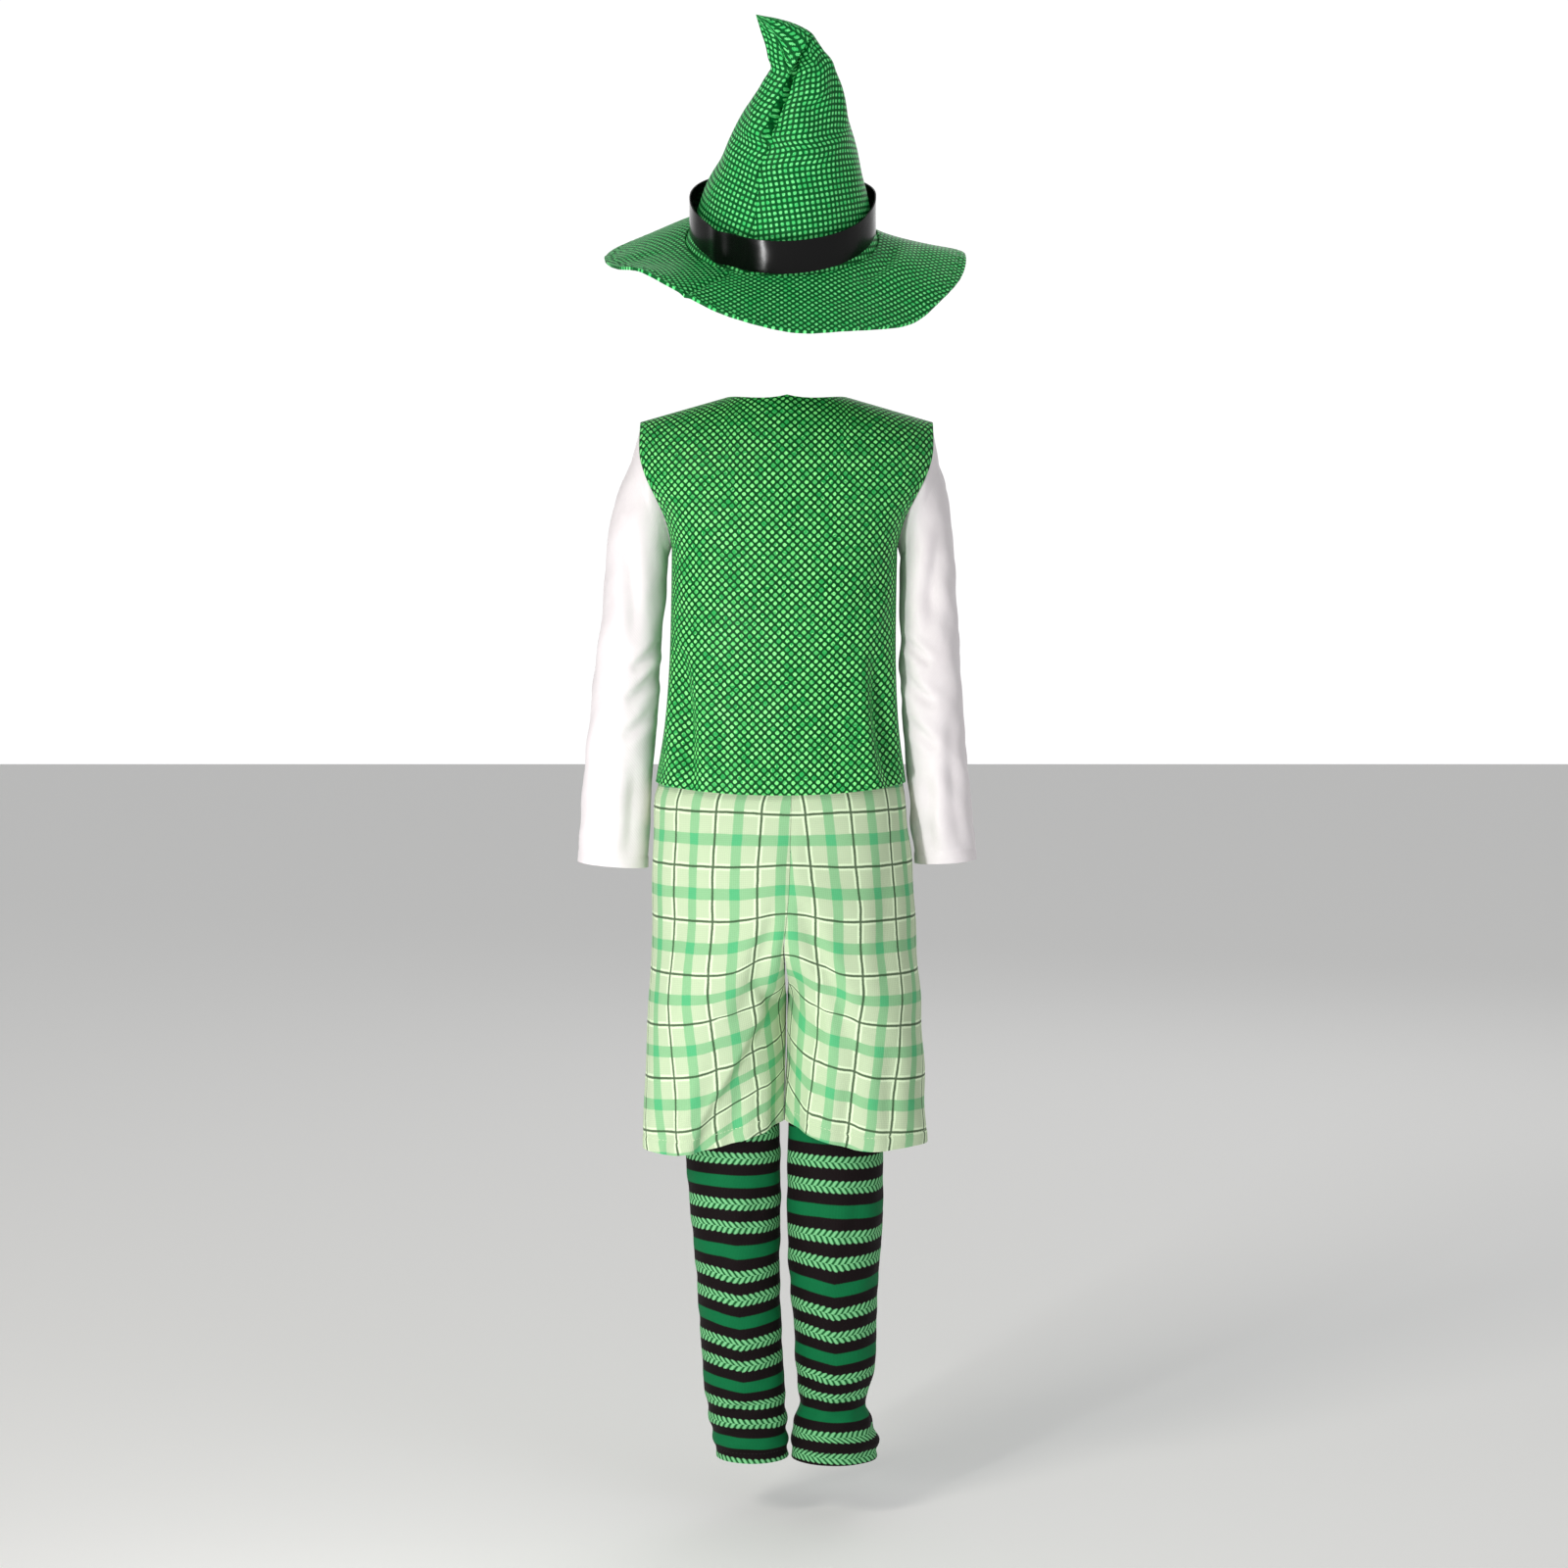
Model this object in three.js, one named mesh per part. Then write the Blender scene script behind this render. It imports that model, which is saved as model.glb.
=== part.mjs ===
// Leprechaun costume for a child of about 130 cm, in the form it takes when worn.
// Millimetres, +Z up, the wearer's back faces +Y and the wearer's left is +X.
// The origin is in the neck opening, midway between the two shoulder seams.

import * as THREE from 'three';

// Cloth thickness of each piece, and the gap that sewn pieces keep
const FELT_WALL = 1.8;
const BRIM_WALL = 3.0;
const BAND_WALL = 1.2;
const VEST_WALL = 1.6;
const SLEEVE_WALL = 1.2;
const SHORTS_WALL = 1.8;
const JERSEY_WALL = 1.4;
const ELASTIC_WALL = 3.0;
const SEAM_GAP = 0.3;
const HALF_GAP = SEAM_GAP / 2;

const LEFT = 1;
const RIGHT = -1;
const BACK = 1;
const FRONT = -1;

const COLOURS = {
  greenDot: 0x1fa14c,
  blackVinyl: 0x141416,
  white: 0xf4eff0,
  plaid: 0xbfe0ab,
  stripe: 0x1d4a2c,
};
const CLOTH_ROUGHNESS = 0.8;
const VINYL_ROUGHNESS = 0.25;

// A table with named columns: one object for each row
function table(names, rows) {
  return rows.map((row) => Object.fromEntries(names.map((name, index) => [name, row[index]])));
}

// Smooth reading between the rows of a table, which are in order of its key column
function read(sections, key, place, column) {
  const last = sections.length - 1;
  const rising = sections[last][key] > sections[0][key];
  let low = 0;
  while (low < last - 1 && (sections[low + 1][key] < place) === rising) low += 1;
  const slope = (index) => {
    const before = sections[Math.max(index - 1, 0)];
    const after = sections[Math.min(index + 1, last)];
    return (after[column] - before[column]) / (after[key] - before[key]);
  };
  const start = sections[low];
  const end = sections[low + 1];
  const span = end[key] - start[key];
  const t = THREE.MathUtils.clamp((place - start[key]) / span, 0, 1);
  const startWeight = (1 + 2 * t) * (1 - t) ** 2;
  const endWeight = t * t * (3 - 2 * t);
  const bend = t * (1 - t) ** 2 * span * slope(low) - t * t * (1 - t) * span * slope(low + 1);
  return startWeight * start[column] + endWeight * end[column] + bend;
}

const signedPower = (value, power) => Math.sign(value) * Math.abs(value) ** power;
const degrees = THREE.MathUtils.degToRad;
const mix = THREE.MathUtils.lerp;

// Outward normal of a grid of points, from its neighbours along and across
function gridNormal(grid, row, column, closed) {
  const rows = grid.length;
  const columns = grid[0].length;
  const before = closed ? (column + columns - 1) % columns : Math.max(column - 1, 0);
  const after = closed ? (column + 1) % columns : Math.min(column + 1, columns - 1);
  const across = grid[row][after].clone().sub(grid[row][before]);
  const above = grid[Math.max(row - 1, 0)][column];
  const below = grid[Math.min(row + 1, rows - 1)][column];
  return below.clone().sub(above).cross(across).normalize();
}

// Middle of one row of points
function middle(points) {
  return points.reduce((sum, point) => sum.add(point), new THREE.Vector3()).divideScalar(points.length);
}

// A closed mesh from triangles of points, turned so that its faces look outwards
function solidMesh(name, colour, triangles) {
  const volume = triangles.reduce((sum, [a, b, c]) => sum + a.dot(b.clone().cross(c)), 0);
  const corners = triangles.flatMap(([a, b, c]) => (volume > 0 ? [a, b, c] : [a, c, b]));
  const geometry = new THREE.BufferGeometry().setFromPoints(corners);
  geometry.computeVertexNormals();
  const roughness = colour === COLOURS.blackVinyl ? VINYL_ROUGHNESS : CLOTH_ROUGHNESS;
  const material = new THREE.MeshStandardMaterial({ color: colour, roughness, metalness: 0 });
  const mesh = new THREE.Mesh(geometry, material);
  mesh.name = name;
  return mesh;
}

// A wall of cloth: the grid is its outer face, and its inner face lies one thickness inside.
// A closed grid goes all round; a tip closes the last ring to a point, over a hollow that ends earlier.
function clothWall(name, colour, outer, options) {
  const { wall, closed = false, away, limit = (point) => point, tip, hollowRows } = options;
  const outside = away ?? ((point, row) => point.clone().sub(middle(outer[row])));
  const normals = outer.map((points, row) => (
    points.map((_, column) => gridNormal(outer, row, column, closed))
  ));
  const facing = outer.reduce((sum, points, row) => (
    sum + points.reduce((part, point, column) => part + normals[row][column].dot(outside(point, row)), 0)
  ), 0);
  const inward = -Math.sign(facing) * wall;
  const inner = outer.map((points, row) => points.map((point, column) => (
    limit(point.clone().addScaledVector(normals[row][column], inward), row, column)
  )));
  const innerRows = hollowRows ?? outer.length;
  const columns = outer[0].length;
  const steps = closed ? columns : columns - 1;
  const next = (column) => (column + 1) % columns;
  const triangles = [];
  const quad = (a, b, c, d) => triangles.push([a, b, c], [a, c, d]);
  const cell = (grid, row, column) => (
    [grid[row][column], grid[row + 1][column], grid[row + 1][next(column)], grid[row][next(column)]]
  );
  for (let column = 0; column < steps; column += 1) {
    for (let row = 0; row + 1 < outer.length; row += 1) {
      quad(...cell(outer, row, column));
    }
    for (let row = 0; row + 1 < innerRows; row += 1) {
      const [a, b, c, d] = cell(inner, row, column);
      quad(d, c, b, a);
    }
    quad(outer[0][column], outer[0][next(column)], inner[0][next(column)], inner[0][column]);
    if (tip) {
      const roof = middle(inner[innerRows - 1]);
      triangles.push([outer.at(-1)[next(column)], outer.at(-1)[column], tip]);
      triangles.push([inner[innerRows - 1][column], inner[innerRows - 1][next(column)], roof]);
    } else {
      const end = outer.length - 1;
      quad(outer[end][next(column)], outer[end][column], inner[end][column], inner[end][next(column)]);
    }
  }
  if (!closed) {
    const edge = columns - 1;
    for (let row = 0; row + 1 < outer.length; row += 1) {
      quad(outer[row][0], inner[row][0], inner[row + 1][0], outer[row + 1][0]);
      quad(outer[row + 1][edge], inner[row + 1][edge], inner[row][edge], outer[row][edge]);
    }
  }
  return solidMesh(name, colour, triangles);
}

// Hat. Its own frame stands on the crown's base ring and leans back with the head.
const HAT_LEAN = degrees(26);
const HAT_CENTRE = new THREE.Vector3(5, 2, 159);
const HAT_SIDE = new THREE.Vector3(1, 0, 0);
const HAT_REAR = new THREE.Vector3(0, Math.cos(HAT_LEAN), -Math.sin(HAT_LEAN));
const HAT_AXIS = new THREE.Vector3(0, Math.sin(HAT_LEAN), Math.cos(HAT_LEAN));

function hatPoint(side, rear, height) {
  return HAT_CENTRE.clone()
    .addScaledVector(HAT_SIDE, side)
    .addScaledVector(HAT_REAR, rear)
    .addScaledVector(HAT_AXIS, height);
}

// Crown sections from the base ring to the bent tip. Shift is sideways, lean turns the section.
const CROWN_COLUMNS = 32;
const CROWN_SECTIONS = table(
  ['height', 'shift', 'lean', 'halfWidth', 'halfDepth'],
  [
    [-2, 0, 0, 94.8, 100],
    [14, -1, 0, 88.6, 93.8],
    [30, -2, 0, 84.6, 89.4],
    [58, -4, 0, 76.5, 81.5],
    [79, -7.6, 0, 68.1, 72],
    [100, -9.4, 0, 60.8, 63.5],
    [122, -12.2, 0, 53, 54],
    [142, -15.3, 1, 45, 44],
    [156, -17.4, 2, 39, 37],
    [168, -18.2, 4, 33.7, 30],
    [178.8, -20, 4.2, 28.3, 24],
    [188.3, -14, 4.5, 26.3, 18],
    [196.5, -9.8, 5.9, 24.4, 14.5],
    [205.3, -4.8, 6, 22.4, 11.5],
    [214, 5.2, 11, 15.5, 8.5],
    [220.5, 14.4, 10, 8.5, 5.5],
    [223.2, 19.9, 9, 4, 3],
  ],
);
const CROWN_TIP = { height: 225.9, shift: 24.6 };
const CROWN_HOLLOW_ROWS = 11;

// Folds of the crown: a crease down the back seam and the crumple below the bent tip
const CROWN_CREASES = table(
  ['angle', 'halfAngle', 'from', 'to', 'depth'],
  [
    [70, 12, 90, 180, 5],
    [104, 16, 60, 145, -2.5],
    [42, 15, 110, 188, -3],
    [150, 15, 100, 174, 3],
    [262, 16, 85, 174, 4],
    [300, 18, 65, 142, -2.5],
  ],
);

// Depth of a soft trough at a place, for creases given by an angle and a stretch of height
function creaseDepth(creases, angle, height) {
  return creases.reduce((sum, crease) => {
    const turn = THREE.MathUtils.euclideanModulo(angle - crease.angle + 180, 360) - 180;
    const reach = (height - crease.from) / (crease.to - crease.from);
    if (reach <= 0 || reach >= 1) return sum;
    return sum + crease.depth * Math.exp(-((turn / crease.halfAngle) ** 2)) * Math.sin(Math.PI * reach);
  }, 0);
}

function crownPoint(section, angle) {
  const lean = degrees(section.lean);
  const depth = creaseDepth(CROWN_CREASES, angle, section.height);
  const side = (section.halfWidth - depth) * Math.cos(degrees(angle));
  const rear = (section.halfDepth - depth) * Math.sin(degrees(angle));
  return hatPoint(section.shift + side * Math.cos(lean), rear, section.height - side * Math.sin(lean));
}

function buildCrown() {
  const rings = CROWN_SECTIONS.map((section) => (
    Array.from({ length: CROWN_COLUMNS }, (_, column) => crownPoint(section, (360 * column) / CROWN_COLUMNS))
  ));
  const tip = hatPoint(CROWN_TIP.shift, 0, CROWN_TIP.height);
  return clothWall('hat_crown', COLOURS.greenDot, rings, {
    wall: FELT_WALL, closed: true, tip, hollowRows: CROWN_HOLLOW_ROWS,
  });
}

// Brim: one row for each place round its edge, with the edge's rise over the ring, its reach, and the curve
// of the cloth towards it: over 1 it bends down late, under 1 early. Angle 0 is the wearer's left, 90 the back.
const BRIM_COLUMNS = 48;
const BRIM_ROWS = 6;
const BRIM_CLEARANCE = 2 * SEAM_GAP;
const BRIM_EDGE = table(
  ['angle', 'rise', 'reach', 'curve'],
  [
    [0, -19, 174, 1.25],
    [14, -8, 176, 1.25],
    [28, 3, 178, 1.25],
    [42, 15, 180, 1.25],
    [56, 10, 181, 1.25],
    [72, -6, 182, 1.25],
    [86, -17, 181, 1.25],
    [96, -23, 181, 1.25],
    [108, -26, 181, 1.25],
    [120, -30, 181, 1.25],
    [134, -33, 182, 1.25],
    [148, -26, 181, 1.25],
    [164, -21, 181, 1.25],
    [180, -19, 181, 1.1],
    [194, -29, 181, 0.8],
    [210, -42, 181, 0.6],
    [226, -57, 180, 0.65],
    [238, -50, 180, 0.9],
    [252, -42, 180, 1.25],
    [270, -38, 180, 1.25],
    [294, -38, 180, 1.25],
    [318, -39, 179, 1.25],
    [340, -33, 176, 1.25],
    [360, -19, 174, 1.25],
  ],
);

function buildBrim() {
  const base = CROWN_SECTIONS[0];
  const rings = Array.from({ length: BRIM_ROWS }, (_, row) => {
    const t = row / (BRIM_ROWS - 1);
    return Array.from({ length: BRIM_COLUMNS }, (__, column) => {
      const angle = (360 * column) / BRIM_COLUMNS;
      const reach = read(BRIM_EDGE, 'angle', angle, 'reach');
      const rise = read(BRIM_EDGE, 'angle', angle, 'rise');
      const curve = read(BRIM_EDGE, 'angle', angle, 'curve');
      const halfWidth = mix(base.halfWidth + BRIM_CLEARANCE, reach, t);
      const halfDepth = mix(base.halfDepth + BRIM_CLEARANCE, reach, t);
      const height = BRIM_WALL / 2 + rise * t ** curve;
      return hatPoint(halfWidth * Math.cos(degrees(angle)), halfDepth * Math.sin(degrees(angle)), height);
    });
  });
  const limit = (point, row, column) => (
    row === 0 ? rings[0][column].clone().addScaledVector(HAT_AXIS, -BRIM_WALL) : point
  );
  const away = () => HAT_AXIS;
  return clothWall('hat_brim', COLOURS.greenDot, rings, { wall: BRIM_WALL, closed: true, away, limit });
}

// Band: its lower edge lies round the crown, lowest at the back and the front, and it stands up from there
// as a plain hoop. Softness rounds its two high places at the sides.
const BAND_COLUMNS = 48;
const BAND_HEIGHT = 32;
const BAND_LEAN = degrees(5);
const BAND_SIDE_HEIGHT = 12;
const BAND_SOFTNESS = 0.2;
const BAND_CLEARANCE = 0.8;
const BAND_ROWS = 3;

function buildBand() {
  const axis = HAT_AXIS.clone().applyAxisAngle(HAT_SIDE, -BAND_LEAN);
  const swing = read(CROWN_SECTIONS, 'height', BAND_SIDE_HEIGHT, 'halfDepth') * Math.tan(BAND_LEAN);
  const drop = (angle) => Math.hypot(Math.sin(angle), BAND_SOFTNESS) - BAND_SOFTNESS;
  const lowerEdge = Array.from({ length: BAND_COLUMNS }, (_, column) => {
    const angle = degrees((360 * column) / BAND_COLUMNS);
    const height = BAND_SIDE_HEIGHT - (swing * drop(angle)) / drop(Math.PI / 2);
    const clear = BAND_CLEARANCE + BAND_WALL;
    const shift = read(CROWN_SECTIONS, 'height', height, 'shift');
    const side = (read(CROWN_SECTIONS, 'height', height, 'halfWidth') + clear) * Math.cos(angle);
    const rear = (read(CROWN_SECTIONS, 'height', height, 'halfDepth') + clear) * Math.sin(angle);
    return hatPoint(shift + side, rear, height);
  });
  const rings = Array.from({ length: BAND_ROWS }, (_, row) => (
    lowerEdge.map((point) => point.clone().addScaledVector(axis, (BAND_HEIGHT * row) / (BAND_ROWS - 1)))
  ));
  return clothWall('hat_band', COLOURS.blackVinyl, rings, { wall: BAND_WALL, closed: true });
}

// Vest: a back and a front that meet at the shoulders and down the sides
const CHEST_Z = -144;
const NECK_SIDE_Z = 5;
const SHOULDER_TIP_Z = -19;
const SHOULDER_HALF_WIDTH = 143.6;
const SHOULDER_ROUNDNESS = 0.77;
const TORSO_SQUARENESS = 2.8;
const HEM_SIDE_Z = -372;
const HEM_DIP = 9;
const HEM_SHIFT = 6.3;
const PANEL_HALF_COLUMNS = 11;
const NECK_COLUMNS = 3;
const YOKE_ROWS = 10;
const BODY_ROWS = 5;
const NECK_DEPTH = { [BACK]: 50, [FRONT]: 76 };
const NECK_SHARE = Math.sin((Math.PI / 2) * (NECK_COLUMNS / PANEL_HALF_COLUMNS));
const NECK_HALF_WIDTH = NECK_SHARE * SHOULDER_HALF_WIDTH;

// Yoke, from the shoulder seam (0) to the bottom of the armhole (1).
// Edge is the armhole's edge, and girth the half-width the cloth would have further round.
const YOKE = table(
  ['down', 'edge', 'girth'],
  [
    [0, 143.6, 150.5],
    [0.25, 143.6, 150.5],
    [0.5, 143.4, 151],
    [0.6, 141, 149],
    [0.7, 135.5, 144],
    [0.8, 127, 133],
    [0.9, 117.5, 119.8],
    [1, 111, 111],
  ],
);

// Body of the vest below the armholes
const BODY = table(
  ['z', 'halfWidth', 'halfDepth'],
  [
    [-144, 111, 88],
    [-200, 111, 86],
    [-260, 112, 84],
    [-320, 116, 86],
    [-384, 125.5, 91],
  ],
);

// The hips stand a little to the wearer's left of the shoulders
const torsoShift = (z) => (HEM_SHIFT * Math.max(-z, 0)) / (HEM_DIP - HEM_SIDE_Z);

// How far down the yoke the armhole's edge is, from the shoulder tip (0 degrees) to the side seam (180)
function armholeDown(angle) {
  const height = (1 + Math.cos(degrees(angle))) / 2;
  return Math.acos(height ** (1 / SHOULDER_ROUNDNESS)) / (Math.PI / 2);
}

// A point of the vest. Share runs from -1 to 1 across; down from 0 to 1 over the yoke and to 2 at the hem.
function vestPoint(face, share, down) {
  const spread = Math.abs(share);
  if (down <= 1) {
    const edge = read(YOKE, 'down', down, 'edge');
    const girth = read(YOKE, 'down', down, 'girth');
    const round = (1 - Math.min((spread * edge) / girth, 1) ** TORSO_SQUARENESS) ** (1 / TORSO_SQUARENESS);
    const neckShare = Math.min(spread / NECK_SHARE, 1);
    const neckReach = NECK_DEPTH[face] * Math.sqrt(1 - neckShare ** 2);
    const start = Math.asin(Math.min(neckReach / BODY[0].halfDepth, 1) ** (1 / SHOULDER_ROUNDNESS));
    const turn = mix(start, Math.PI / 2, down);
    const topZ = NECK_SIDE_Z + (SHOULDER_TIP_Z - NECK_SIDE_Z)
      * ((spread * SHOULDER_HALF_WIDTH - NECK_HALF_WIDTH) / (SHOULDER_HALF_WIDTH - NECK_HALF_WIDTH));
    const z = CHEST_Z + (topZ - CHEST_Z) * Math.max(Math.cos(turn), 0) ** SHOULDER_ROUNDNESS;
    const y = face * (HALF_GAP + BODY[0].halfDepth * Math.sin(turn) ** SHOULDER_ROUNDNESS * round);
    return new THREE.Vector3(torsoShift(z) + share * edge, y, z);
  }
  const hemZ = HEM_SIDE_Z - HEM_DIP * (1 - spread ** 2);
  const z = mix(CHEST_Z, hemZ, down - 1);
  const round = (1 - spread ** TORSO_SQUARENESS) ** (1 / TORSO_SQUARENESS);
  const y = face * (HALF_GAP + read(BODY, 'z', z, 'halfDepth') * round);
  return new THREE.Vector3(torsoShift(z) + share * read(BODY, 'z', z, 'halfWidth'), y, z);
}

function buildVestPanel(name, face) {
  const downs = [
    ...Array.from({ length: YOKE_ROWS }, (_, row) => armholeDown((180 * row) / YOKE_ROWS)),
    ...Array.from({ length: BODY_ROWS + 1 }, (_, row) => 1 + row / BODY_ROWS),
  ];
  const shares = Array.from({ length: 2 * PANEL_HALF_COLUMNS + 1 }, (_, column) => (
    Math.sin((Math.PI / 2) * (column / PANEL_HALF_COLUMNS - 1))
  ));
  const grid = downs.map((down) => shares.map((share) => vestPoint(face, share, down)));
  const limit = (point) => {
    point.y = face * Math.max(face * point.y, HALF_GAP);
    return point;
  };
  const away = (point) => new THREE.Vector3(point.x, point.y, Math.max(point.z - CHEST_Z, 0));
  return clothWall(name, COLOURS.greenDot, grid, { wall: VEST_WALL, limit, away });
}

// Sleeves: sewn inside the armhole, then a fan of sections down the arm, each given by its outermost
// and innermost points, its half-depth and how far back its middle lies.
const SLEEVE_COLUMNS = 2 * YOKE_ROWS;
const SLEEVE_INSET = 9;
const SLEEVE_CLEARANCE = 0.7;
const SLEEVE_SEAM_PULL = 3;
const ARMHOLE_CENTRE = { x: 127, z: -82 };
const SLEEVE_NAMES = ['outX', 'outZ', 'inX', 'inZ', 'halfDepth', 'back'];
const SLEEVE_SECTIONS = {
  [LEFT]: table(SLEEVE_NAMES, [
    [153, -58, 117, -152, 38, 0],
    [165, -84, 117.5, -165, 38, 1],
    [174.5, -122, 119.5, -188, 36.5, 3],
    [179, -172, 122, -218, 35, 5],
    [184, -222, 124.5, -248, 34, 7],
    [190.5, -272, 126.5, -286, 34, 7],
    [196, -320, 129.5, -328, 34.5, 4],
    [201, -368, 134, -374, 35, -2],
    [205.5, -416, 137, -420, 36, -11],
    [208.8, -454, 138.7, -460, 36.5, -19],
  ]),
  [RIGHT]: table(SLEEVE_NAMES, [
    [150, -62, 112, -152, 37, 0],
    [158, -92, 111.2, -165, 36, 1],
    [163.5, -140, 111, -190, 34, 3],
    [167, -188, 111, -222, 32, 5],
    [170, -235, 111.4, -252, 31, 7],
    [173.5, -288, 113, -298, 31, 7],
    [176.5, -338, 116.8, -344, 31, 4],
    [181, -384, 121.5, -388, 31.5, -3],
    [186, -424, 125, -428, 32, -12],
    [189, -452, 128, -456, 32.5, -19],
  ]),
};

// The armhole's edge, from the shoulder tip (0 degrees) over the back to the side seam (180)
// and round the front
function armholePoint(side, angle) {
  return vestPoint(angle <= 180 ? BACK : FRONT, side, armholeDown(angle));
}

function buildSleeve(name, side) {
  const angles = Array.from({ length: SLEEVE_COLUMNS }, (_, column) => (360 * column) / SLEEVE_COLUMNS);
  const pulledIn = (angle, pull, inset) => {
    const edge = armholePoint(side, angle);
    const centre = new THREE.Vector3(side * ARMHOLE_CENTRE.x, 0, ARMHOLE_CENTRE.z);
    const point = edge.addScaledVector(centre.sub(edge).normalize(), pull);
    point.x -= side * inset;
    return point;
  };
  const fanPoint = (section, angle) => {
    const along = Math.cos(degrees(angle));
    const x = mix(section.inX, section.outX, (1 + along) / 2);
    const z = mix(section.inZ, section.outZ, (1 + along) / 2);
    return new THREE.Vector3(side * x, section.back + section.halfDepth * Math.sin(degrees(angle)), z);
  };
  const fan = SLEEVE_SECTIONS[side].map((section) => angles.map((angle) => fanPoint(section, angle)));
  const sewn = angles.map((angle) => pulledIn(angle, VEST_WALL + SLEEVE_SEAM_PULL, SLEEVE_INSET));
  const edge = angles.map((angle) => pulledIn(angle, VEST_WALL + SLEEVE_CLEARANCE, 0));
  const over = edge.map((point, column) => point.clone().lerp(fan[0][column], 0.5));
  return clothWall(name, COLOURS.white, [sewn, edge, over, ...fan], { wall: SLEEVE_WALL, closed: true });
}

// Shorts: each leg is one panel, from the back seam round the outside to the front seam.
// Rise lifts a row towards the inseam; split grows from 0 over the hips to 1 where the legs part.
// Lift is how much a row takes part in the lift of the leg's outer edge.
const SHORTS_COLUMNS = 26;
const SHORTS_SQUARENESS = 0.87;
const SHORTS_SECTIONS = table(
  ['z', 'rise', 'lift', 'seamX', 'leftX', 'rightX', 'split', 'halfDepth'],
  [
    [-350, 0, 0, -4, 119, 107, 0, 78],
    [-376, 0, 0, -4, 127.3, 114.8, 0, 83.5],
    [-390, 0, 0, -4, 131.2, 117, 0, 86],
    [-430, 0, 0, -3.2, 132, 120.5, 0, 90],
    [-470, 0, 0, -2, 132.6, 123.8, 0, 93],
    [-505, 2, 0, 0.5, 133, 126.5, 0.12, 93],
    [-535, 6, 0, 3, 134.5, 128.5, 0.42, 90],
    [-560, 11, 0, 2, 135.8, 130, 0.72, 86],
    [-582, 16, 0, 0.5, 136.8, 131.4, 0.93, 82],
    [-604, 20, 0, 0, 137.8, 132.8, 1, 78],
    [-632, 22, 0, 0, 139, 134.8, 1, 74],
    [-660, 24, 0.2, 0.5, 140.4, 136.4, 1, 71],
    [-688, 26, 0.5, 1.5, 141.8, 137.6, 1, 69],
    [-714, 28, 0.8, 2.5, 142.9, 138.8, 1, 67.5],
    [-739, 30, 1, 3, 143.4, 139.4, 1, 66.5],
  ],
);

// Lift of a leg's outer edge at the hem, and the share of the leg's width at which it begins
const OUTER_LIFT = {
  [LEFT]: { height: 3, from: 0.85 },
  [RIGHT]: { height: 9, from: 0.46 },
};

// Hanging folds at the back of the legs: the cloth between the line and the inseam falls inwards
const SHORTS_FOLDS = {
  [LEFT]: {
    depth: 11,
    blend: 20,
    line: table(['z', 'x'], [[-560, 0], [-604, 24], [-648, 46], [-696, 73], [-745, 92]]),
  },
  [RIGHT]: {
    depth: 6.5,
    blend: 20,
    line: table(['z', 'x'], [[-560, 0], [-609, 24], [-648, 22], [-680, 22], [-745, 14]]),
  },
};
const FOLD_START_Z = -560;
const FOLD_FULL_Z = -620;
const FOLD_LIMIT = 0.3;

function legFold(side, x, z) {
  const fold = SHORTS_FOLDS[side];
  const inside = (read(fold.line, 'z', z, 'x') - x) / fold.blend;
  const fade = THREE.MathUtils.smoothstep(-z, -FOLD_START_Z, -FOLD_FULL_Z);
  return fold.depth * fade * THREE.MathUtils.smoothstep(inside, -0.5, 0.5);
}

// A point of a shorts panel. Share runs from 0 at the back seam to 1 at the front seam.
function shortsPoint(side, section, share) {
  const width = side * ((side === LEFT ? section.leftX : -section.rightX) - section.seamX);
  const middleX = (section.split * width) / 2;
  const halfWidth = width - middleX;
  const endTurn = Math.acos(-((middleX / halfWidth) ** (1 / SHORTS_SQUARENESS)));
  const turn = mix(endTurn, -endTurn, share);
  const x = Math.max(middleX + halfWidth * signedPower(Math.cos(turn), SHORTS_SQUARENESS), 0);
  const inseam = (1 - x / width) ** 2;
  const outside = THREE.MathUtils.smoothstep(x / width, OUTER_LIFT[side].from, 1);
  const z = section.z + section.rise * inseam + section.lift * OUTER_LIFT[side].height * outside;
  const depth = section.halfDepth * signedPower(Math.sin(turn), SHORTS_SQUARENESS);
  const fold = depth > 0 ? Math.min(legFold(side, x, z), depth * FOLD_LIMIT) : 0;
  const y = depth - fold + Math.sign(0.5 - share) * HALF_GAP;
  return new THREE.Vector3(section.seamX + side * (x + HALF_GAP), y, z);
}

function buildShortsLeg(name, side) {
  const shares = Array.from({ length: SHORTS_COLUMNS + 1 }, (_, column) => column / SHORTS_COLUMNS);
  const grid = SHORTS_SECTIONS.map((section) => shares.map((share) => shortsPoint(side, section, share)));
  const limit = (point, row, column) => {
    const seamX = SHORTS_SECTIONS[row].seamX;
    point.x = seamX + side * Math.max(side * (point.x - seamX), HALF_GAP);
    const half = Math.sign(SHORTS_COLUMNS / 2 - column);
    if (half !== 0) point.y = half * Math.max(half * point.y, HALF_GAP);
    return point;
  };
  return clothWall(name, COLOURS.plaid, grid, { wall: SHORTS_WALL, limit });
}

// Waistband: a plain gathered elastic band, hidden under the vest
const WAISTBAND_COLUMNS = 32;
const WAISTBAND = { topZ: -318, bottomZ: -350 + SEAM_GAP, middleX: 6, halfWidth: 113.35, halfDepth: 78 };

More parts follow.
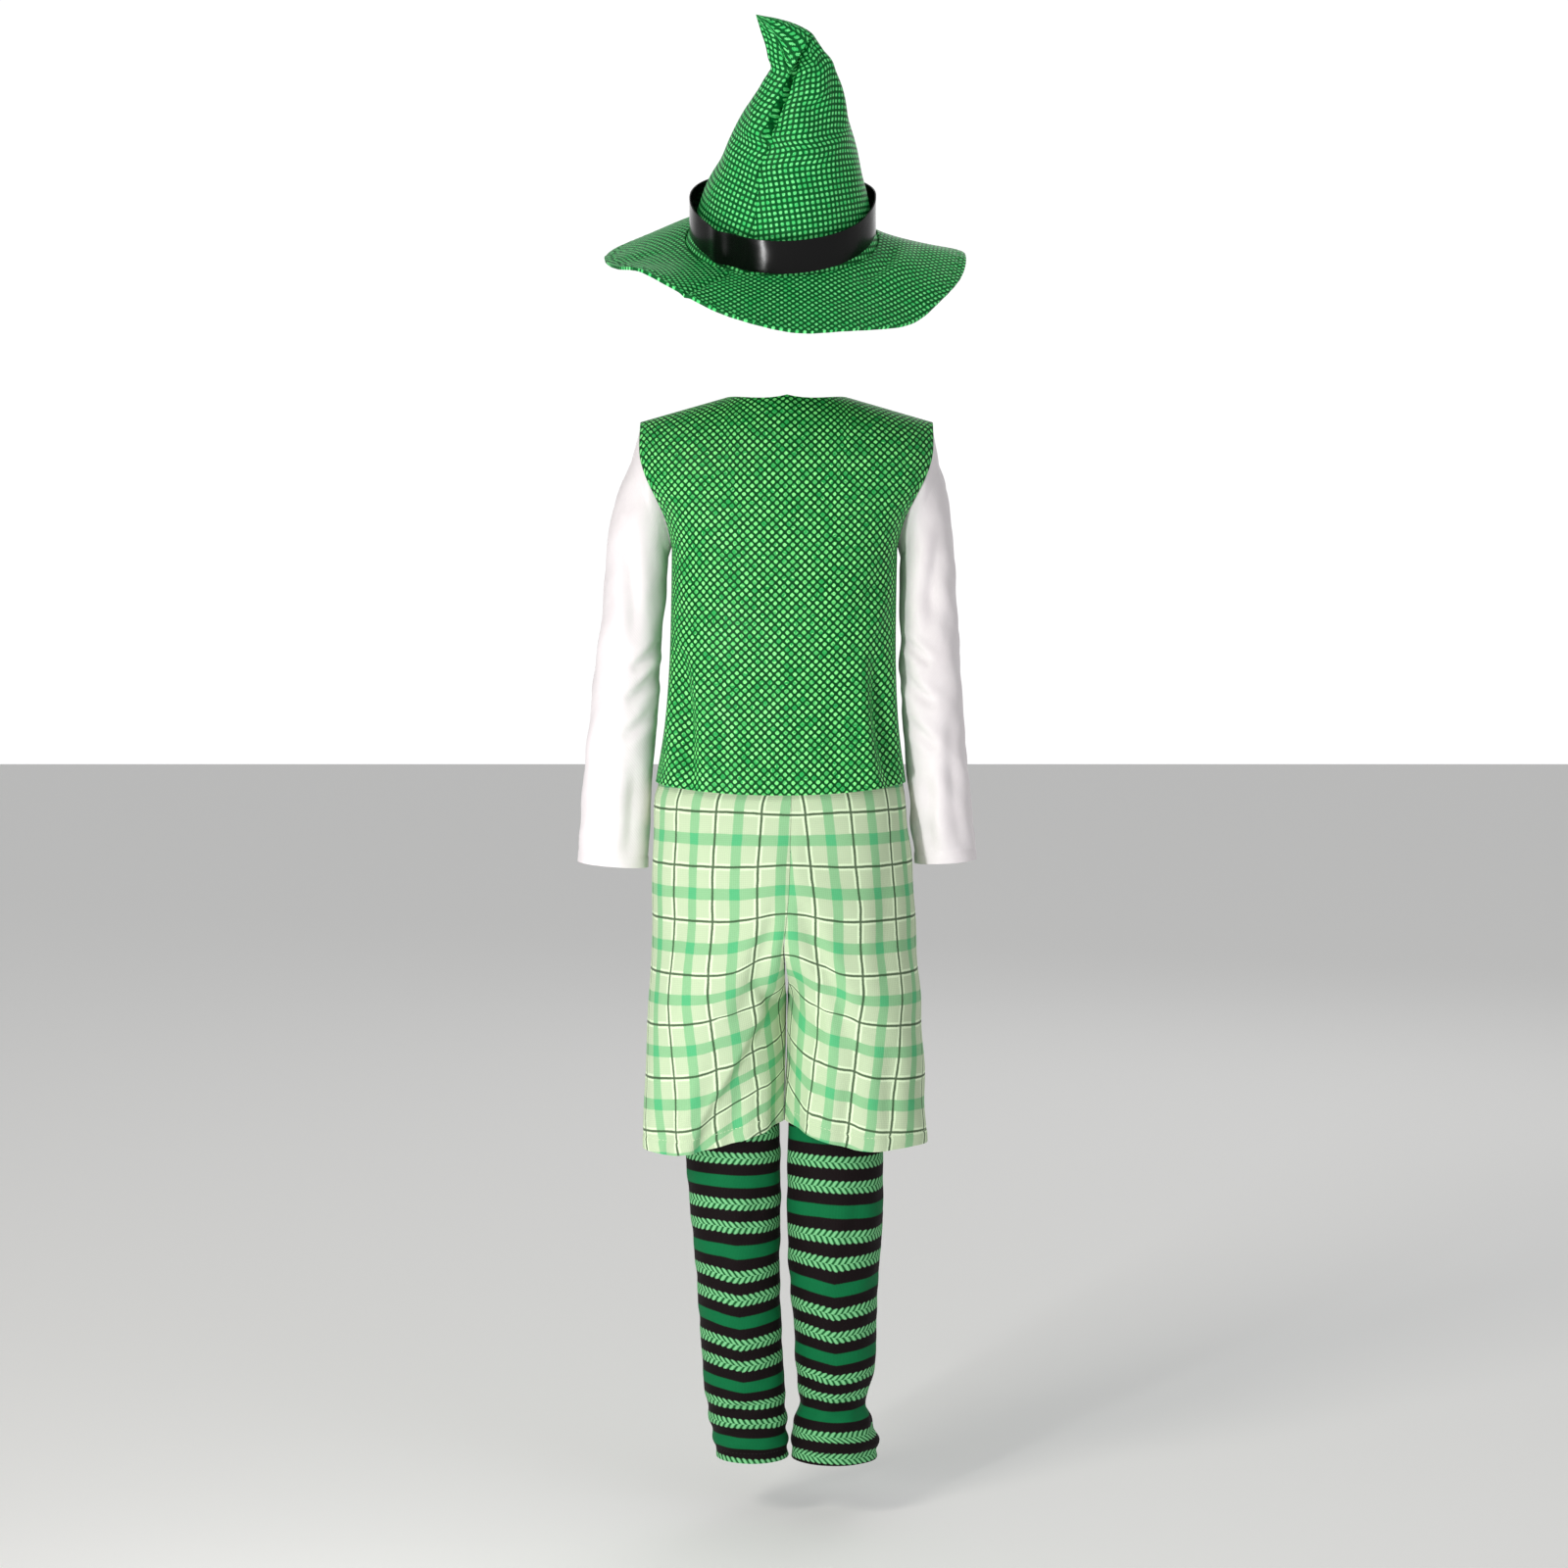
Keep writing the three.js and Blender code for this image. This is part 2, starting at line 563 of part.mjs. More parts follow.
function buildWaistband() {
  const rings = [WAISTBAND.topZ, WAISTBAND.bottomZ].map((z) => (
    Array.from({ length: WAISTBAND_COLUMNS }, (_, column) => {
      const turn = (2 * Math.PI * column) / WAISTBAND_COLUMNS;
      const x = WAISTBAND.middleX + WAISTBAND.halfWidth * signedPower(Math.cos(turn), SHORTS_SQUARENESS);
      return new THREE.Vector3(x, WAISTBAND.halfDepth * signedPower(Math.sin(turn), SHORTS_SQUARENESS), z);
    })
  ));
  return clothWall('waistband', COLOURS.plaid, rings, { wall: ELASTIC_WALL, closed: true });
}

// Striped lower legs: sewn to the inside of the shorts, then loose tubes that bunch at the ankle
const STRIPED_COLUMNS = 18;
const STRIPED_SEWN_Z = -632;
const STRIPED_SEWN_INSET = SHORTS_WALL + 1.5;
const STRIPED_NAMES = ['z', 'middleX', 'halfWidth', 'halfDepth', 'back'];
const STRIPED_SECTIONS = {
  [LEFT]: table(STRIPED_NAMES, [
    [-656, 62, 54, 50, 0],
    [-695, 56, 48.5, 46, 0],
    [-750, 53.6, 47.5, 46, 0],
    [-813, 51, 44.2, 46, 1],
    [-871, 48.6, 41.6, 44.5, 2],
    [-915, 46.5, 40.6, 42.5, 3],
    [-958, 44, 40.3, 40.5, 3],
    [-985, 42, 40.8, 40, 4],
    [-1000, 40.5, 38.6, 38, 4],
    [-1012, 39, 39.8, 40, 4],
    [-1023, 37.8, 36.8, 37, 4],
    [-1033, 36.5, 38.2, 39, 4],
    [-1042, 35.5, 35.6, 36.5, 4],
    [-1050, 34.5, 36.4, 37.5, 4],
  ]),
  [RIGHT]: table(STRIPED_NAMES, [
    [-656, -58, 54, 52, 0],
    [-695, -50, 48, 46, 0],
    [-750, -48.2, 48, 46, 0],
    [-813, -48, 47.8, 46, 1],
    [-871, -47, 44.4, 45, 2],
    [-920, -48.3, 41, 43, 3],
    [-958, -48.6, 39.6, 40.5, 3],
    [-982, -47, 35.5, 38, 4],
    [-998, -45.5, 32.5, 36, 4],
    [-1012, -46, 38.5, 40, 4],
    [-1023, -46.5, 40, 39.5, 4],
    [-1034, -48, 44.4, 42.5, 4],
    [-1043, -47.4, 42.2, 41, 4],
    [-1051, -47.6, 43.2, 42, 4],
  ]),
};

// The sewn end follows the shorts' own section, one wall and a gap inside it
function sewnRing(side, turns) {
  const section = SHORTS_SECTIONS.find(({ z }) => z === STRIPED_SEWN_Z);
  const points = turns.map((turn) => {
    const share = turn <= Math.PI ? (Math.PI - turn) / (2 * Math.PI) : (3 * Math.PI - turn) / (2 * Math.PI);
    return shortsPoint(side, section, share);
  });
  const centre = middle(points);
  return points.map((point) => {
    const inset = centre.clone().sub(point).setZ(0).normalize();
    return point.addScaledVector(inset, STRIPED_SEWN_INSET);
  });
}

function buildStripedLeg(name, side) {
  const step = (2 * Math.PI) / STRIPED_COLUMNS;
  const turns = Array.from({ length: STRIPED_COLUMNS }, (_, column) => step * column);
  const rings = STRIPED_SECTIONS[side].map((section) => turns.map((turn) => (
    new THREE.Vector3(
      section.middleX + side * section.halfWidth * Math.cos(turn),
      section.back + section.halfDepth * Math.sin(turn),
      section.z,
    )
  )));
  const grid = [sewnRing(side, turns), ...rings];
  return clothWall(name, COLOURS.stripe, grid, { wall: JERSEY_WALL, closed: true });
}

const costume = new THREE.Group();
costume.add(
  buildCrown(),
  buildBrim(),
  buildBand(),
  buildVestPanel('vest_back', BACK),
  buildVestPanel('vest_front', FRONT),
  buildSleeve('sleeve_left', LEFT),
  buildSleeve('sleeve_right', RIGHT),
  buildWaistband(),
  buildShortsLeg('shorts_left', LEFT),
  buildShortsLeg('shorts_right', RIGHT),
  buildStripedLeg('striped_leg_left', LEFT),
  buildStripedLeg('striped_leg_right', RIGHT),
);

export default costume;
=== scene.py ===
"""Leprechaun costume for a child, worn: hat, sleeved top, plaid shorts and striped lower legs.

Sizes are in millimetres in the classes below and turned to metres where a mesh is made. +Z is up,
the wearer's back faces +Y and the wearer's left is +X. The origin is in the neck opening.
"""

from __future__ import annotations

import logging
import math
from dataclasses import dataclass, field
from enum import Enum
from functools import partial
from typing import Callable, Sequence

import bmesh
import bpy
import numpy as np
from mathutils import Euler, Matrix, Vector


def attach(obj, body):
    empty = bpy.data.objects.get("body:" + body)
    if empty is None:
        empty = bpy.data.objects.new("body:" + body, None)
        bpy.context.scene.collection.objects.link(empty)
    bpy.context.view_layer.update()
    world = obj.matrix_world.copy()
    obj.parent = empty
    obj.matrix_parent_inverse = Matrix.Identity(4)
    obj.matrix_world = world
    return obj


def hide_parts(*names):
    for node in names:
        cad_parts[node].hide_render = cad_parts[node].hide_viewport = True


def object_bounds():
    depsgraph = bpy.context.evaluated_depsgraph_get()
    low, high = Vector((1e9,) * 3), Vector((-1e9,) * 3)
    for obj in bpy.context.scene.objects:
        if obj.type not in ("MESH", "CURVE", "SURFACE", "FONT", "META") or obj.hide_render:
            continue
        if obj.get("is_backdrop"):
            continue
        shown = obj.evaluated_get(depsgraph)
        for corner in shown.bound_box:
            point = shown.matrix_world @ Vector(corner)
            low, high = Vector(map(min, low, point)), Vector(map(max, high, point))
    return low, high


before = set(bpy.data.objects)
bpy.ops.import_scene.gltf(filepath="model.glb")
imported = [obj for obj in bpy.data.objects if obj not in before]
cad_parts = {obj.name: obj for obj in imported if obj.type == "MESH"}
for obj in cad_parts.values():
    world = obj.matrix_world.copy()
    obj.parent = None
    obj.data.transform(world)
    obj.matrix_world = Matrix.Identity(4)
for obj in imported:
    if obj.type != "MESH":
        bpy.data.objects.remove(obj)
cad_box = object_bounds()

MM = 0.001
ROOT = "root"
LOG = logging.getLogger("costume")

Grid = np.ndarray
Pair = tuple[float, float]
Point = tuple[float, float, float]
AddNode = Callable[..., bpy.types.Node]


class Side(Enum):
    """The wearer's own left and right."""

    LEFT = 1
    RIGHT = -1

    def node(self, piece: str) -> str:
        """Return the name of a piece's node on this side."""
        return f"{piece}_{self.name.lower()}"


class Face(Enum):
    """Which way a panel of the top looks."""

    BACK = 1
    FRONT = -1

    @property
    def node(self) -> str:
        """The name of the panel's node."""
        return f"vest_{self.name.lower()}"


# Plain helpers


def signed_power(value: Grid, power: float) -> Grid:
    """Raise the size of each value to a power and keep its sign."""
    return np.sign(value) * np.abs(value) ** power


def smooth_step(value: Grid, low: float, high: float) -> Grid:
    """Go from 0 at low to 1 at high along a smooth curve."""
    t = np.clip((value - low) / (high - low), 0.0, 1.0)
    return t * t * (3.0 - 2.0 * t)


def bell(off: Grid, width: float) -> Grid:
    """Return 1 where off is 0, falling smoothly to nothing a few widths away."""
    return np.exp(-((off / width) ** 2))


def wrap(grid: Grid) -> Grid:
    """Repeat the first column after the last one, for a piece that is closed all round."""
    return np.concatenate([grid, grid[:, :1]], axis=1)


@dataclass(frozen=True)
class Sections:
    """A table of sections in order of its first column, read smoothly between its rows."""

    names: tuple[str, ...]
    rows: tuple[tuple[float, ...], ...]

    def column(self, name: str) -> Grid:
        """Return one column as an array."""
        return np.array([row[self.names.index(name)] for row in self.rows], dtype=float)

    def read(self, place: Grid | float, name: str) -> Grid:
        """Read a column at places along the first one.

        Args:
            place: where to read, in the units of the first column.
            name: the column to read.

        Returns:
            The value at each place, on a smooth curve through the rows.
        """
        keys = self.column(self.names[0])
        values = self.column(name)
        place = np.asarray(place, dtype=float)
        if keys[-1] < keys[0]:
            keys, values = keys[::-1], values[::-1]
        slopes = np.empty_like(values)
        slopes[1:-1] = (values[2:] - values[:-2]) / (keys[2:] - keys[:-2])
        slopes[0] = (values[1] - values[0]) / (keys[1] - keys[0])
        slopes[-1] = (values[-1] - values[-2]) / (keys[-1] - keys[-2])
        low = np.clip(np.searchsorted(keys, place, side="right") - 1, 0, len(keys) - 2)
        span = keys[low + 1] - keys[low]
        t = np.clip((place - keys[low]) / span, 0.0, 1.0)
        start = (1 + 2 * t) * (1 - t) ** 2 * values[low]
        end = t * t * (3 - 2 * t) * values[low + 1]
        bend = t * (1 - t) ** 2 * span * slopes[low] - t * t * (1 - t) * span * slopes[low + 1]
        return start + end + bend


@dataclass(frozen=True)
class Crease:
    """A soft fold, from start to end in a piece's own (across, up) sizes in mm.

    A positive depth sinks a trough and a negative one raises a ridge. Bend bows the line sideways.
    """

    start: Pair
    end: Pair
    depth: float
    width: float
    bend: float = 0.0
    end_power: float = 0.7
    ridge_place: float = 1.7
    ridge_share: float = 0.35

    def depth_at(self, across: Grid, up: Grid) -> Grid:
        """Return how far the cloth sinks at each place, with a small ridge on either side.

        Args:
            across: places across the piece, in mm.
            up: places up the piece, in mm.

        Returns:
            The depth at each place in mm.
        """
        along = np.array(self.end) - np.array(self.start)
        length = float(np.hypot(*along))
        unit = along / length
        x = across - self.start[0]
        y = up - self.start[1]
        t = (x * unit[0] + y * unit[1]) / length
        off = x * unit[1] - y * unit[0] - self.bend * 4.0 * t * (1.0 - t)
        reach = np.sin(np.pi * np.clip(t, 0.0, 1.0)) ** self.end_power
        trough = bell(off, self.width)
        ridges = bell(np.abs(off) - self.ridge_place * self.width, self.width)
        return self.depth * reach * (trough - self.ridge_share * ridges)


def total_depth(creases: Sequence[Crease | RingCrease], across: Grid, up: Grid) -> Grid:
    """Add the depths of several creases."""
    return sum(crease.depth_at(across, up) for crease in creases)


def each(kind: type, *rows: tuple) -> tuple:
    """Make one object of a kind from each row of its values."""
    return tuple(kind(*row) for row in rows)


@dataclass(frozen=True)
class Waves:
    """Uneven shallow waves, the same on every run: their usual spacing and height in mm."""

    seed: int
    spacing: float
    height: float
    count: int = 7
    spread: Pair = (0.7, 1.8)

    def at(self, across: Grid, up: Grid, change: int = 0) -> Grid:
        """Return the height of the waves at places on the cloth.

        Args:
            across: places across the cloth, in mm.
            up: places up the cloth, in mm.
            change: picks other waves of the same kind.

        Returns:
            The height at each place in mm.
        """
        chance = np.random.default_rng(self.seed + change)
        waves = np.zeros(np.broadcast(across, up).shape)
        for _ in range(self.count):
            turn = chance.uniform(0.0, math.pi)
            pitch = self.spacing * chance.uniform(*self.spread)
            phase = chance.uniform(0.0, 2.0 * math.pi)
            along = across * math.cos(turn) + up * math.sin(turn)
            waves = waves + np.sin(along * 2 * math.pi / pitch + phase)
        return waves * self.height / math.sqrt(self.count)


# Cloth meshes


def grid_normals(grid: Grid, closed: bool) -> Grid:
    """Return the unit normal at each point of a grid of rows and columns.

    Args:
        grid: points in rows and columns.
        closed: whether the columns go all round.

    Returns:
        A unit normal for each point.
    """
    if closed:
        across = np.roll(grid, -1, axis=1) - np.roll(grid, 1, axis=1)
    else:
        across = np.gradient(grid, axis=1)
    down = np.gradient(grid, axis=0)
    normals = np.cross(down, across)
    return normals / np.maximum(np.linalg.norm(normals, axis=2, keepdims=True), 1e-9)


def outward_normals(grid: Grid, closed: bool, away: Grid | None = None) -> Grid:
    """Return the normals, all turned to the side of the cloth that shows.

    Args:
        grid: points in rows and columns.
        closed: whether the columns go all round.
        away: a direction that the outer side faces at each point; from the middle of its row if left out.

    Returns:
        Unit normals that point out.
    """
    normals = grid_normals(grid, closed)
    if away is None:
        away = grid - grid.mean(axis=1, keepdims=True)
    return normals * np.sign(np.sum(normals * away))


def row_lengths(grid: Grid, start: int) -> Grid:
    """Measure along each row from one column, in both directions."""
    steps = np.linalg.norm(np.diff(grid, axis=1), axis=2)
    along = np.concatenate([np.zeros((grid.shape[0], 1)), np.cumsum(steps, axis=1)], axis=1)
    return along - along[:, start : start + 1]


def column_lengths(grid: Grid) -> Grid:
    """Measure down each column from the first row."""
    steps = np.linalg.norm(np.diff(grid, axis=0), axis=2)
    return np.concatenate([np.zeros((1, grid.shape[1])), np.cumsum(steps, axis=0)], axis=0)


def from_last_row(grid: Grid) -> Grid:
    """Measure up each column from the last row."""
    lengths = column_lengths(grid)
    return lengths[-1:, :] - lengths


@dataclass
class Cloth:
    """A wall of cloth made from a grid of outer points.

    Outer is rows by columns by 3, in mm. Cut is rows by columns by 2, the place of each point on the flat
    cloth in mm, with one column more than outer where the piece is closed.
    """

    name: str
    outer: Grid
    cut: Grid
    wall: float
    closed: bool = False
    away: Grid | None = None
    limit: Callable[[Grid], Grid] | None = None
    tip: Point | None = None
    inner_rows: int = 0

    def inner(self) -> Grid:
        """Return the inner points, one wall inside the outer ones."""
        inner = self.outer - outward_normals(self.outer, self.closed, self.away) * self.wall
        return self.limit(inner) if self.limit else inner

    def build(self) -> bpy.types.Object:
        """Make the object: outer and inner faces, rims between them and the cut as its UV map.

        Returns:
            The linked object, in metres, with its place in its mesh.
        """
        rows, columns = self.outer.shape[:2]
        inner_rows = self.inner_rows or rows
        steps = columns if self.closed else columns - 1
        layer = rows * columns
        points = np.concatenate([self.outer.reshape(-1, 3), self.inner()[:inner_rows].reshape(-1, 3)]) * MM
        faces: list[Grid] = []
        places: list[Grid] = []

        def corner(r: Grid, c: Grid, side: int) -> Grid:
            """Return the numbers of the points at rows and columns of a side."""
            return side * layer + r * columns + c % columns

        def add(corners: Sequence[tuple[Grid, Grid, int]]) -> None:
            """Note faces by their corners, and each corner's place on the cut."""
            faces.append(np.stack([corner(*item) for item in corners], axis=1))
            places.append(np.stack([self.cut[r, c] * MM for r, c, _ in corners], axis=1))

        for side, count in ((0, rows), (1, inner_rows)):
            row, column = np.meshgrid(np.arange(count - 1), np.arange(steps), indexing="ij")
            row, column = row.ravel(), column.ravel()
            ring = [(row + r, column + c, side) for r, c in ((0, 0), (1, 0), (1, 1), (0, 1))]
            add(ring if side == 0 else ring[::-1])
        edge = np.arange(steps)
        first = np.zeros_like(edge)
        last = first + rows - 1
        add([(first, edge + 1, 0), (first, edge + 1, 1), (first, edge, 1), (first, edge, 0)])
        if self.tip is None:
            add([(last, edge, 0), (last, edge, 1), (last, edge + 1, 1), (last, edge + 1, 0)])
        if not self.closed:
            side_rows = np.arange(rows - 1)
            near = np.zeros_like(side_rows)
            far = near + columns - 1
            below = side_rows + 1
            add([(side_rows, near, 0), (side_rows, near, 1), (below, near, 1), (below, near, 0)])
            add([(below, far, 0), (below, far, 1), (side_rows, far, 1), (side_rows, far, 0)])
        all_faces = [tuple(face) for face in np.concatenate(faces).tolist()]
        loops = np.concatenate(places).reshape(-1, 2)
        all_points = points.tolist()
        if self.tip is not None:
            top = len(all_points)
            roof = inner_rows - 1
            peak = np.array(self.tip) * MM
            roof_middle = points[layer + roof * columns :].mean(axis=0)
            fans: list[Grid] = []
            for index, (ring_row, side, point) in enumerate(((rows - 1, 0, peak), (roof, 1, roof_middle))):
                all_points.append(list(point))
                around = self.cut[ring_row] * MM
                for c in range(columns):
                    pair = (c + 1, c) if side == 0 else (c, c + 1)
                    all_faces.append((top + index, *(int(corner(ring_row, end, side)) for end in pair)))
                    fans.append(np.stack([(around[c] + around[c + 1]) / 2, around[pair[0]], around[pair[1]]]))
            loops = np.concatenate([loops, np.concatenate(fans)])

        mesh = bpy.data.meshes.new(self.name)
        mesh.from_pydata(all_points, [], all_faces)
        layer_uv = mesh.uv_layers.new(name="cut")
        layer_uv.data.foreach_set("uv", loops.astype(np.float32).ravel())
        mesh.validate()
        made = bmesh.new()
        made.from_mesh(mesh)
        if made.calc_volume(signed=True) < 0:
            bmesh.ops.reverse_faces(made, faces=made.faces)
        made.to_mesh(mesh)
        made.free()
        piece = bpy.data.objects.new(self.name, mesh)
        bpy.context.scene.collection.objects.link(piece)
        smooth(piece)
        return piece


def smooth(piece: bpy.types.Object, angle: float = 50.0) -> None:
    """Shade a piece smoothly, but for edges sharper than an angle in degrees.

    Args:
        piece: the piece.
        angle: the angle in degrees.
    """
    bpy.ops.object.select_all(action="DESELECT")
    piece.select_set(True)
    bpy.context.view_layer.objects.active = piece
    bpy.ops.object.shade_smooth_by_angle(angle=math.radians(angle))
    piece.select_set(False)


def dress(
    piece: bpy.types.Object, finish: bpy.types.Material, nodes: Sequence[str] = ()
) -> bpy.types.Object:
    """Give a piece its material, its body and the solids that it stands for.

    Args:
        piece: the finished piece.
        finish: its material.
        nodes: the solids that it replaces.

    Returns:
        The same piece.
    """
    piece.data.materials.clear()
    piece.data.materials.append(finish)
    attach(piece, ROOT)
    if nodes:
        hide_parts(*nodes)
    LOG.info("%s: %d faces", piece.name, len(piece.data.polygons))
    return piece


# Finishes


def linear(code: str) -> tuple[float, float, float, float]:
    """Turn an sRGB hex colour such as #a0b0c0 to linear values with full alpha."""
    parts = [int(code[start : start + 2], 16) / 255 for start in (1, 3, 5)]
    return tuple(c / 12.92 if c <= 0.04045 else ((c + 0.055) / 1.055) ** 2.4 for c in parts) + (1.0,)


def add_node(
    tree: bpy.types.NodeTree, kind: str, inputs: dict | None = None, **settings: object
) -> bpy.types.Node:
    """Add a node with its settings and links.

    Args:
        tree: the material's node tree.
        kind: the node's type, without its leading ShaderNode.
        inputs: for each input, by name or number, a value, or the node or socket that feeds it.
        settings: the node's own properties.

    Returns:
        The new node.
    """
    node = tree.nodes.new("ShaderNode" + kind)
    for key, value in settings.items():
        setattr(node, key, value)
    for key, value in (inputs or {}).items():
        source = value.outputs[0] if isinstance(value, bpy.types.Node) else value
        if isinstance(source, bpy.types.NodeSocket):
            tree.links.new(source, node.inputs[key])
        else:
            node.inputs[key].default_value = source
    return node


def set_ramp(ramp: bpy.types.Node, stops: Sequence[tuple[float, str]]) -> bpy.types.Node:
    """Give a colour ramp its stops, each a position and a hex colour, and return it.

    Args:
        ramp: the colour ramp's node.
        stops: the stops in order.

    Returns:
        The same node.
    """
    elements = ramp.color_ramp.elements
    while len(elements) < len(stops):
        elements.new(1.0)
    for element, (position, code) in zip(elements, stops):
        element.position = position
        element.color = linear(code)
    return ramp


def new_material(name: str) -> tuple[bpy.types.Material, AddNode]:
    """Start a material with an empty node tree.

    Args:
        name: the material's name.

    Returns:
        The material and the function that adds its nodes.
    """
    material = bpy.data.materials.new(name)
    material.use_nodes = True
    material.node_tree.nodes.clear()
    return material, partial(add_node, material.node_tree)


def cut_in_mm(add: AddNode) -> bpy.types.Node:
    """Return the node that gives each place on the piece's flat cut, in mm."""
    return add("Mapping", {"Vector": add("UVMap", uv_map="cut"), "Scale": (1000, 1000, 1)})


def wander(add: AddNode, place: bpy.types.Node, scale: float, detail: float, reach: float) -> bpy.types.Node:
    """Move each place a little, as printing and weaving do.

    Args:
        add: adds a node to the material.
        place: the node that gives the place.
        scale: how quickly the shift changes.
        detail: how much fine change it has.
        reach: its size.

    Returns:
        The node that gives the moved place.
    """
    noise = add("TexNoise", {"Vector": place, "Scale": scale, "Detail": detail})
    centred = add("VectorMath", {0: noise.outputs["Color"], 1: (0.5,) * 3}, operation="SUBTRACT")
    nudge = add("VectorMath", {0: centred, 3: reach}, operation="SCALE")
    return add("VectorMath", {0: place, 1: nudge}, operation="ADD")


def close_material(
    add: AddNode, colour: object, roughness: object, bump: bpy.types.Node, shader: dict
) -> None:
    """Join colour, roughness and bump in a Principled shader and send it to the output.

    Args:
        add: adds a node to the material.
        colour: base colour, as a value or what feeds it.
        roughness: roughness, as a value or what feeds it.
        bump: the node that gives the surface its normal.
        shader: the shader's other inputs, by name.
    """
    inputs = {"Base Color": colour, "Roughness": roughness, "Normal": bump, **shader}
    add("OutputMaterial", {"Surface": add("BsdfPrincipled", inputs)})


@dataclass(frozen=True)
class DotCloth:
    """Woven polyester satin printed with a lattice of light dots; the foil-like sheen of its threads is
    painted in, as patches of lit dots among dots in painted shade.
    """

    name: str
    pitch: float
    dot: float
    turn: float
    squareness: float = 3.2
    # Dot colours: the lit dot and, next, the same dot in painted shade; patches of dots mix the two as a
    # painted sheen.
    light: str = "#8dfc93"
    painted_shade_dot: str = "#30b156"
    halo: str = "#0b7832"
    line: str = "#004a1b"
    crossing: str = "#00300f"

    def make(self) -> bpy.types.Material:
        """Build the material from the piece's cut, in mm, so that the dots follow the cloth.

        Returns:
            The material.
        """
        material, add = new_material(self.name)
        cut = add("UVMap", uv_map="cut")
        scale = 1000.0 / self.pitch
        turn = math.radians(self.turn)
        lattice = add("Mapping", {"Vector": cut, "Rotation": (0, 0, turn), "Scale": (scale,) * 3})
        uneven = wander(add, lattice, 1.7, 1.0, 0.16)
        axes = add("SeparateXYZ", {0: uneven})
        powers = []
        for axis in range(2):
            off = add("Math", {0: axes.outputs[axis], 1: 0.5}, operation="PINGPONG")
            powers.append(add("Math", {0: off, 1: self.squareness}, operation="POWER"))
        both = add("Math", {0: powers[0], 1: powers[1]}, operation="ADD")
        distance = add("Math", {0: both, 1: 1 / self.squareness}, operation="POWER")

        half = add("VectorMath", {0: uneven, 1: (0.5, 0.5, 0)}, operation="ADD")
        cell = add("VectorMath", {0: half}, operation="FLOOR")
        chance = add("TexWhiteNoise", {"Vector": cell})
        size_change = add("MapRange", {"Value": chance, "To Min": -0.035, "To Max": 0.035})
        varied = add("Math", {0: distance, 1: size_change}, operation="ADD")
        radius = self.dot / self.pitch / 2
        stops = [
            (radius - 0.035, self.light),
            (radius + 0.02, self.halo),
            (radius + 0.06, self.line),
            (0.50, self.line),
            (0.60, self.crossing),
        ]
        pattern = set_ramp(add("ValToRGB", {0: varied}), stops)
        # The same ramp with the dot in painted shade.
        painted_shade_stops = [(stops[0][0], self.painted_shade_dot)] + stops[1:]
        shaded = set_ramp(add("ValToRGB", {0: varied}), painted_shade_stops)

        threads = add(
            "TexWave", {"Vector": cut, "Scale": 260.0, "Distortion": 1.2, "Detail": 1.0}, wave_type="BANDS"
        )
        patches = add("TexNoise", {"Vector": cut, "Scale": 70.0, "Detail": 3.0})
        # Patches of dots go from the dot in painted shade to the lit dot: partly uneven print, partly painted
        # sheen.
        print_and_painted_sheen = add("Math", {0: chance, 1: patches.outputs[0]}, operation="ADD")
        share = add("MapRange", {"Value": print_and_painted_sheen, "From Min": 0.55, "From Max": 1.25})
        colour = add("Mix", {0: share, 6: shaded.outputs[0], 7: pattern.outputs[0]}, data_type="RGBA")
        thread_tint = add("MapRange", {"Value": threads, "To Min": 0.86, "To Max": 1.06})
        tinted = add("VectorMath", {0: colour.outputs[2], 3: thread_tint.outputs[0]}, operation="SCALE")
        roughness = add("MapRange", {"Value": patches, "To Min": 0.4, "To Max": 0.6})
        raised = add("MapRange", {"Value": varied, "From Max": 0.5, "To Min": 1.0, "To Max": 0.0})
        height = add("Math", {0: threads, 1: 0.35, 2: raised}, operation="MULTIPLY_ADD")
        bump = add("Bump", {"Height": height, "Distance": 0.00012, "Strength": 0.7})
        shader = {
            "Sheen Weight": 0.02,
            "Sheen Roughness": 0.4,
            "Sheen Tint": linear("#7fe8b8"),
            "Specular IOR Level": 0.14,
        }
        close_material(add, tinted, roughness, bump, shader)
        return material


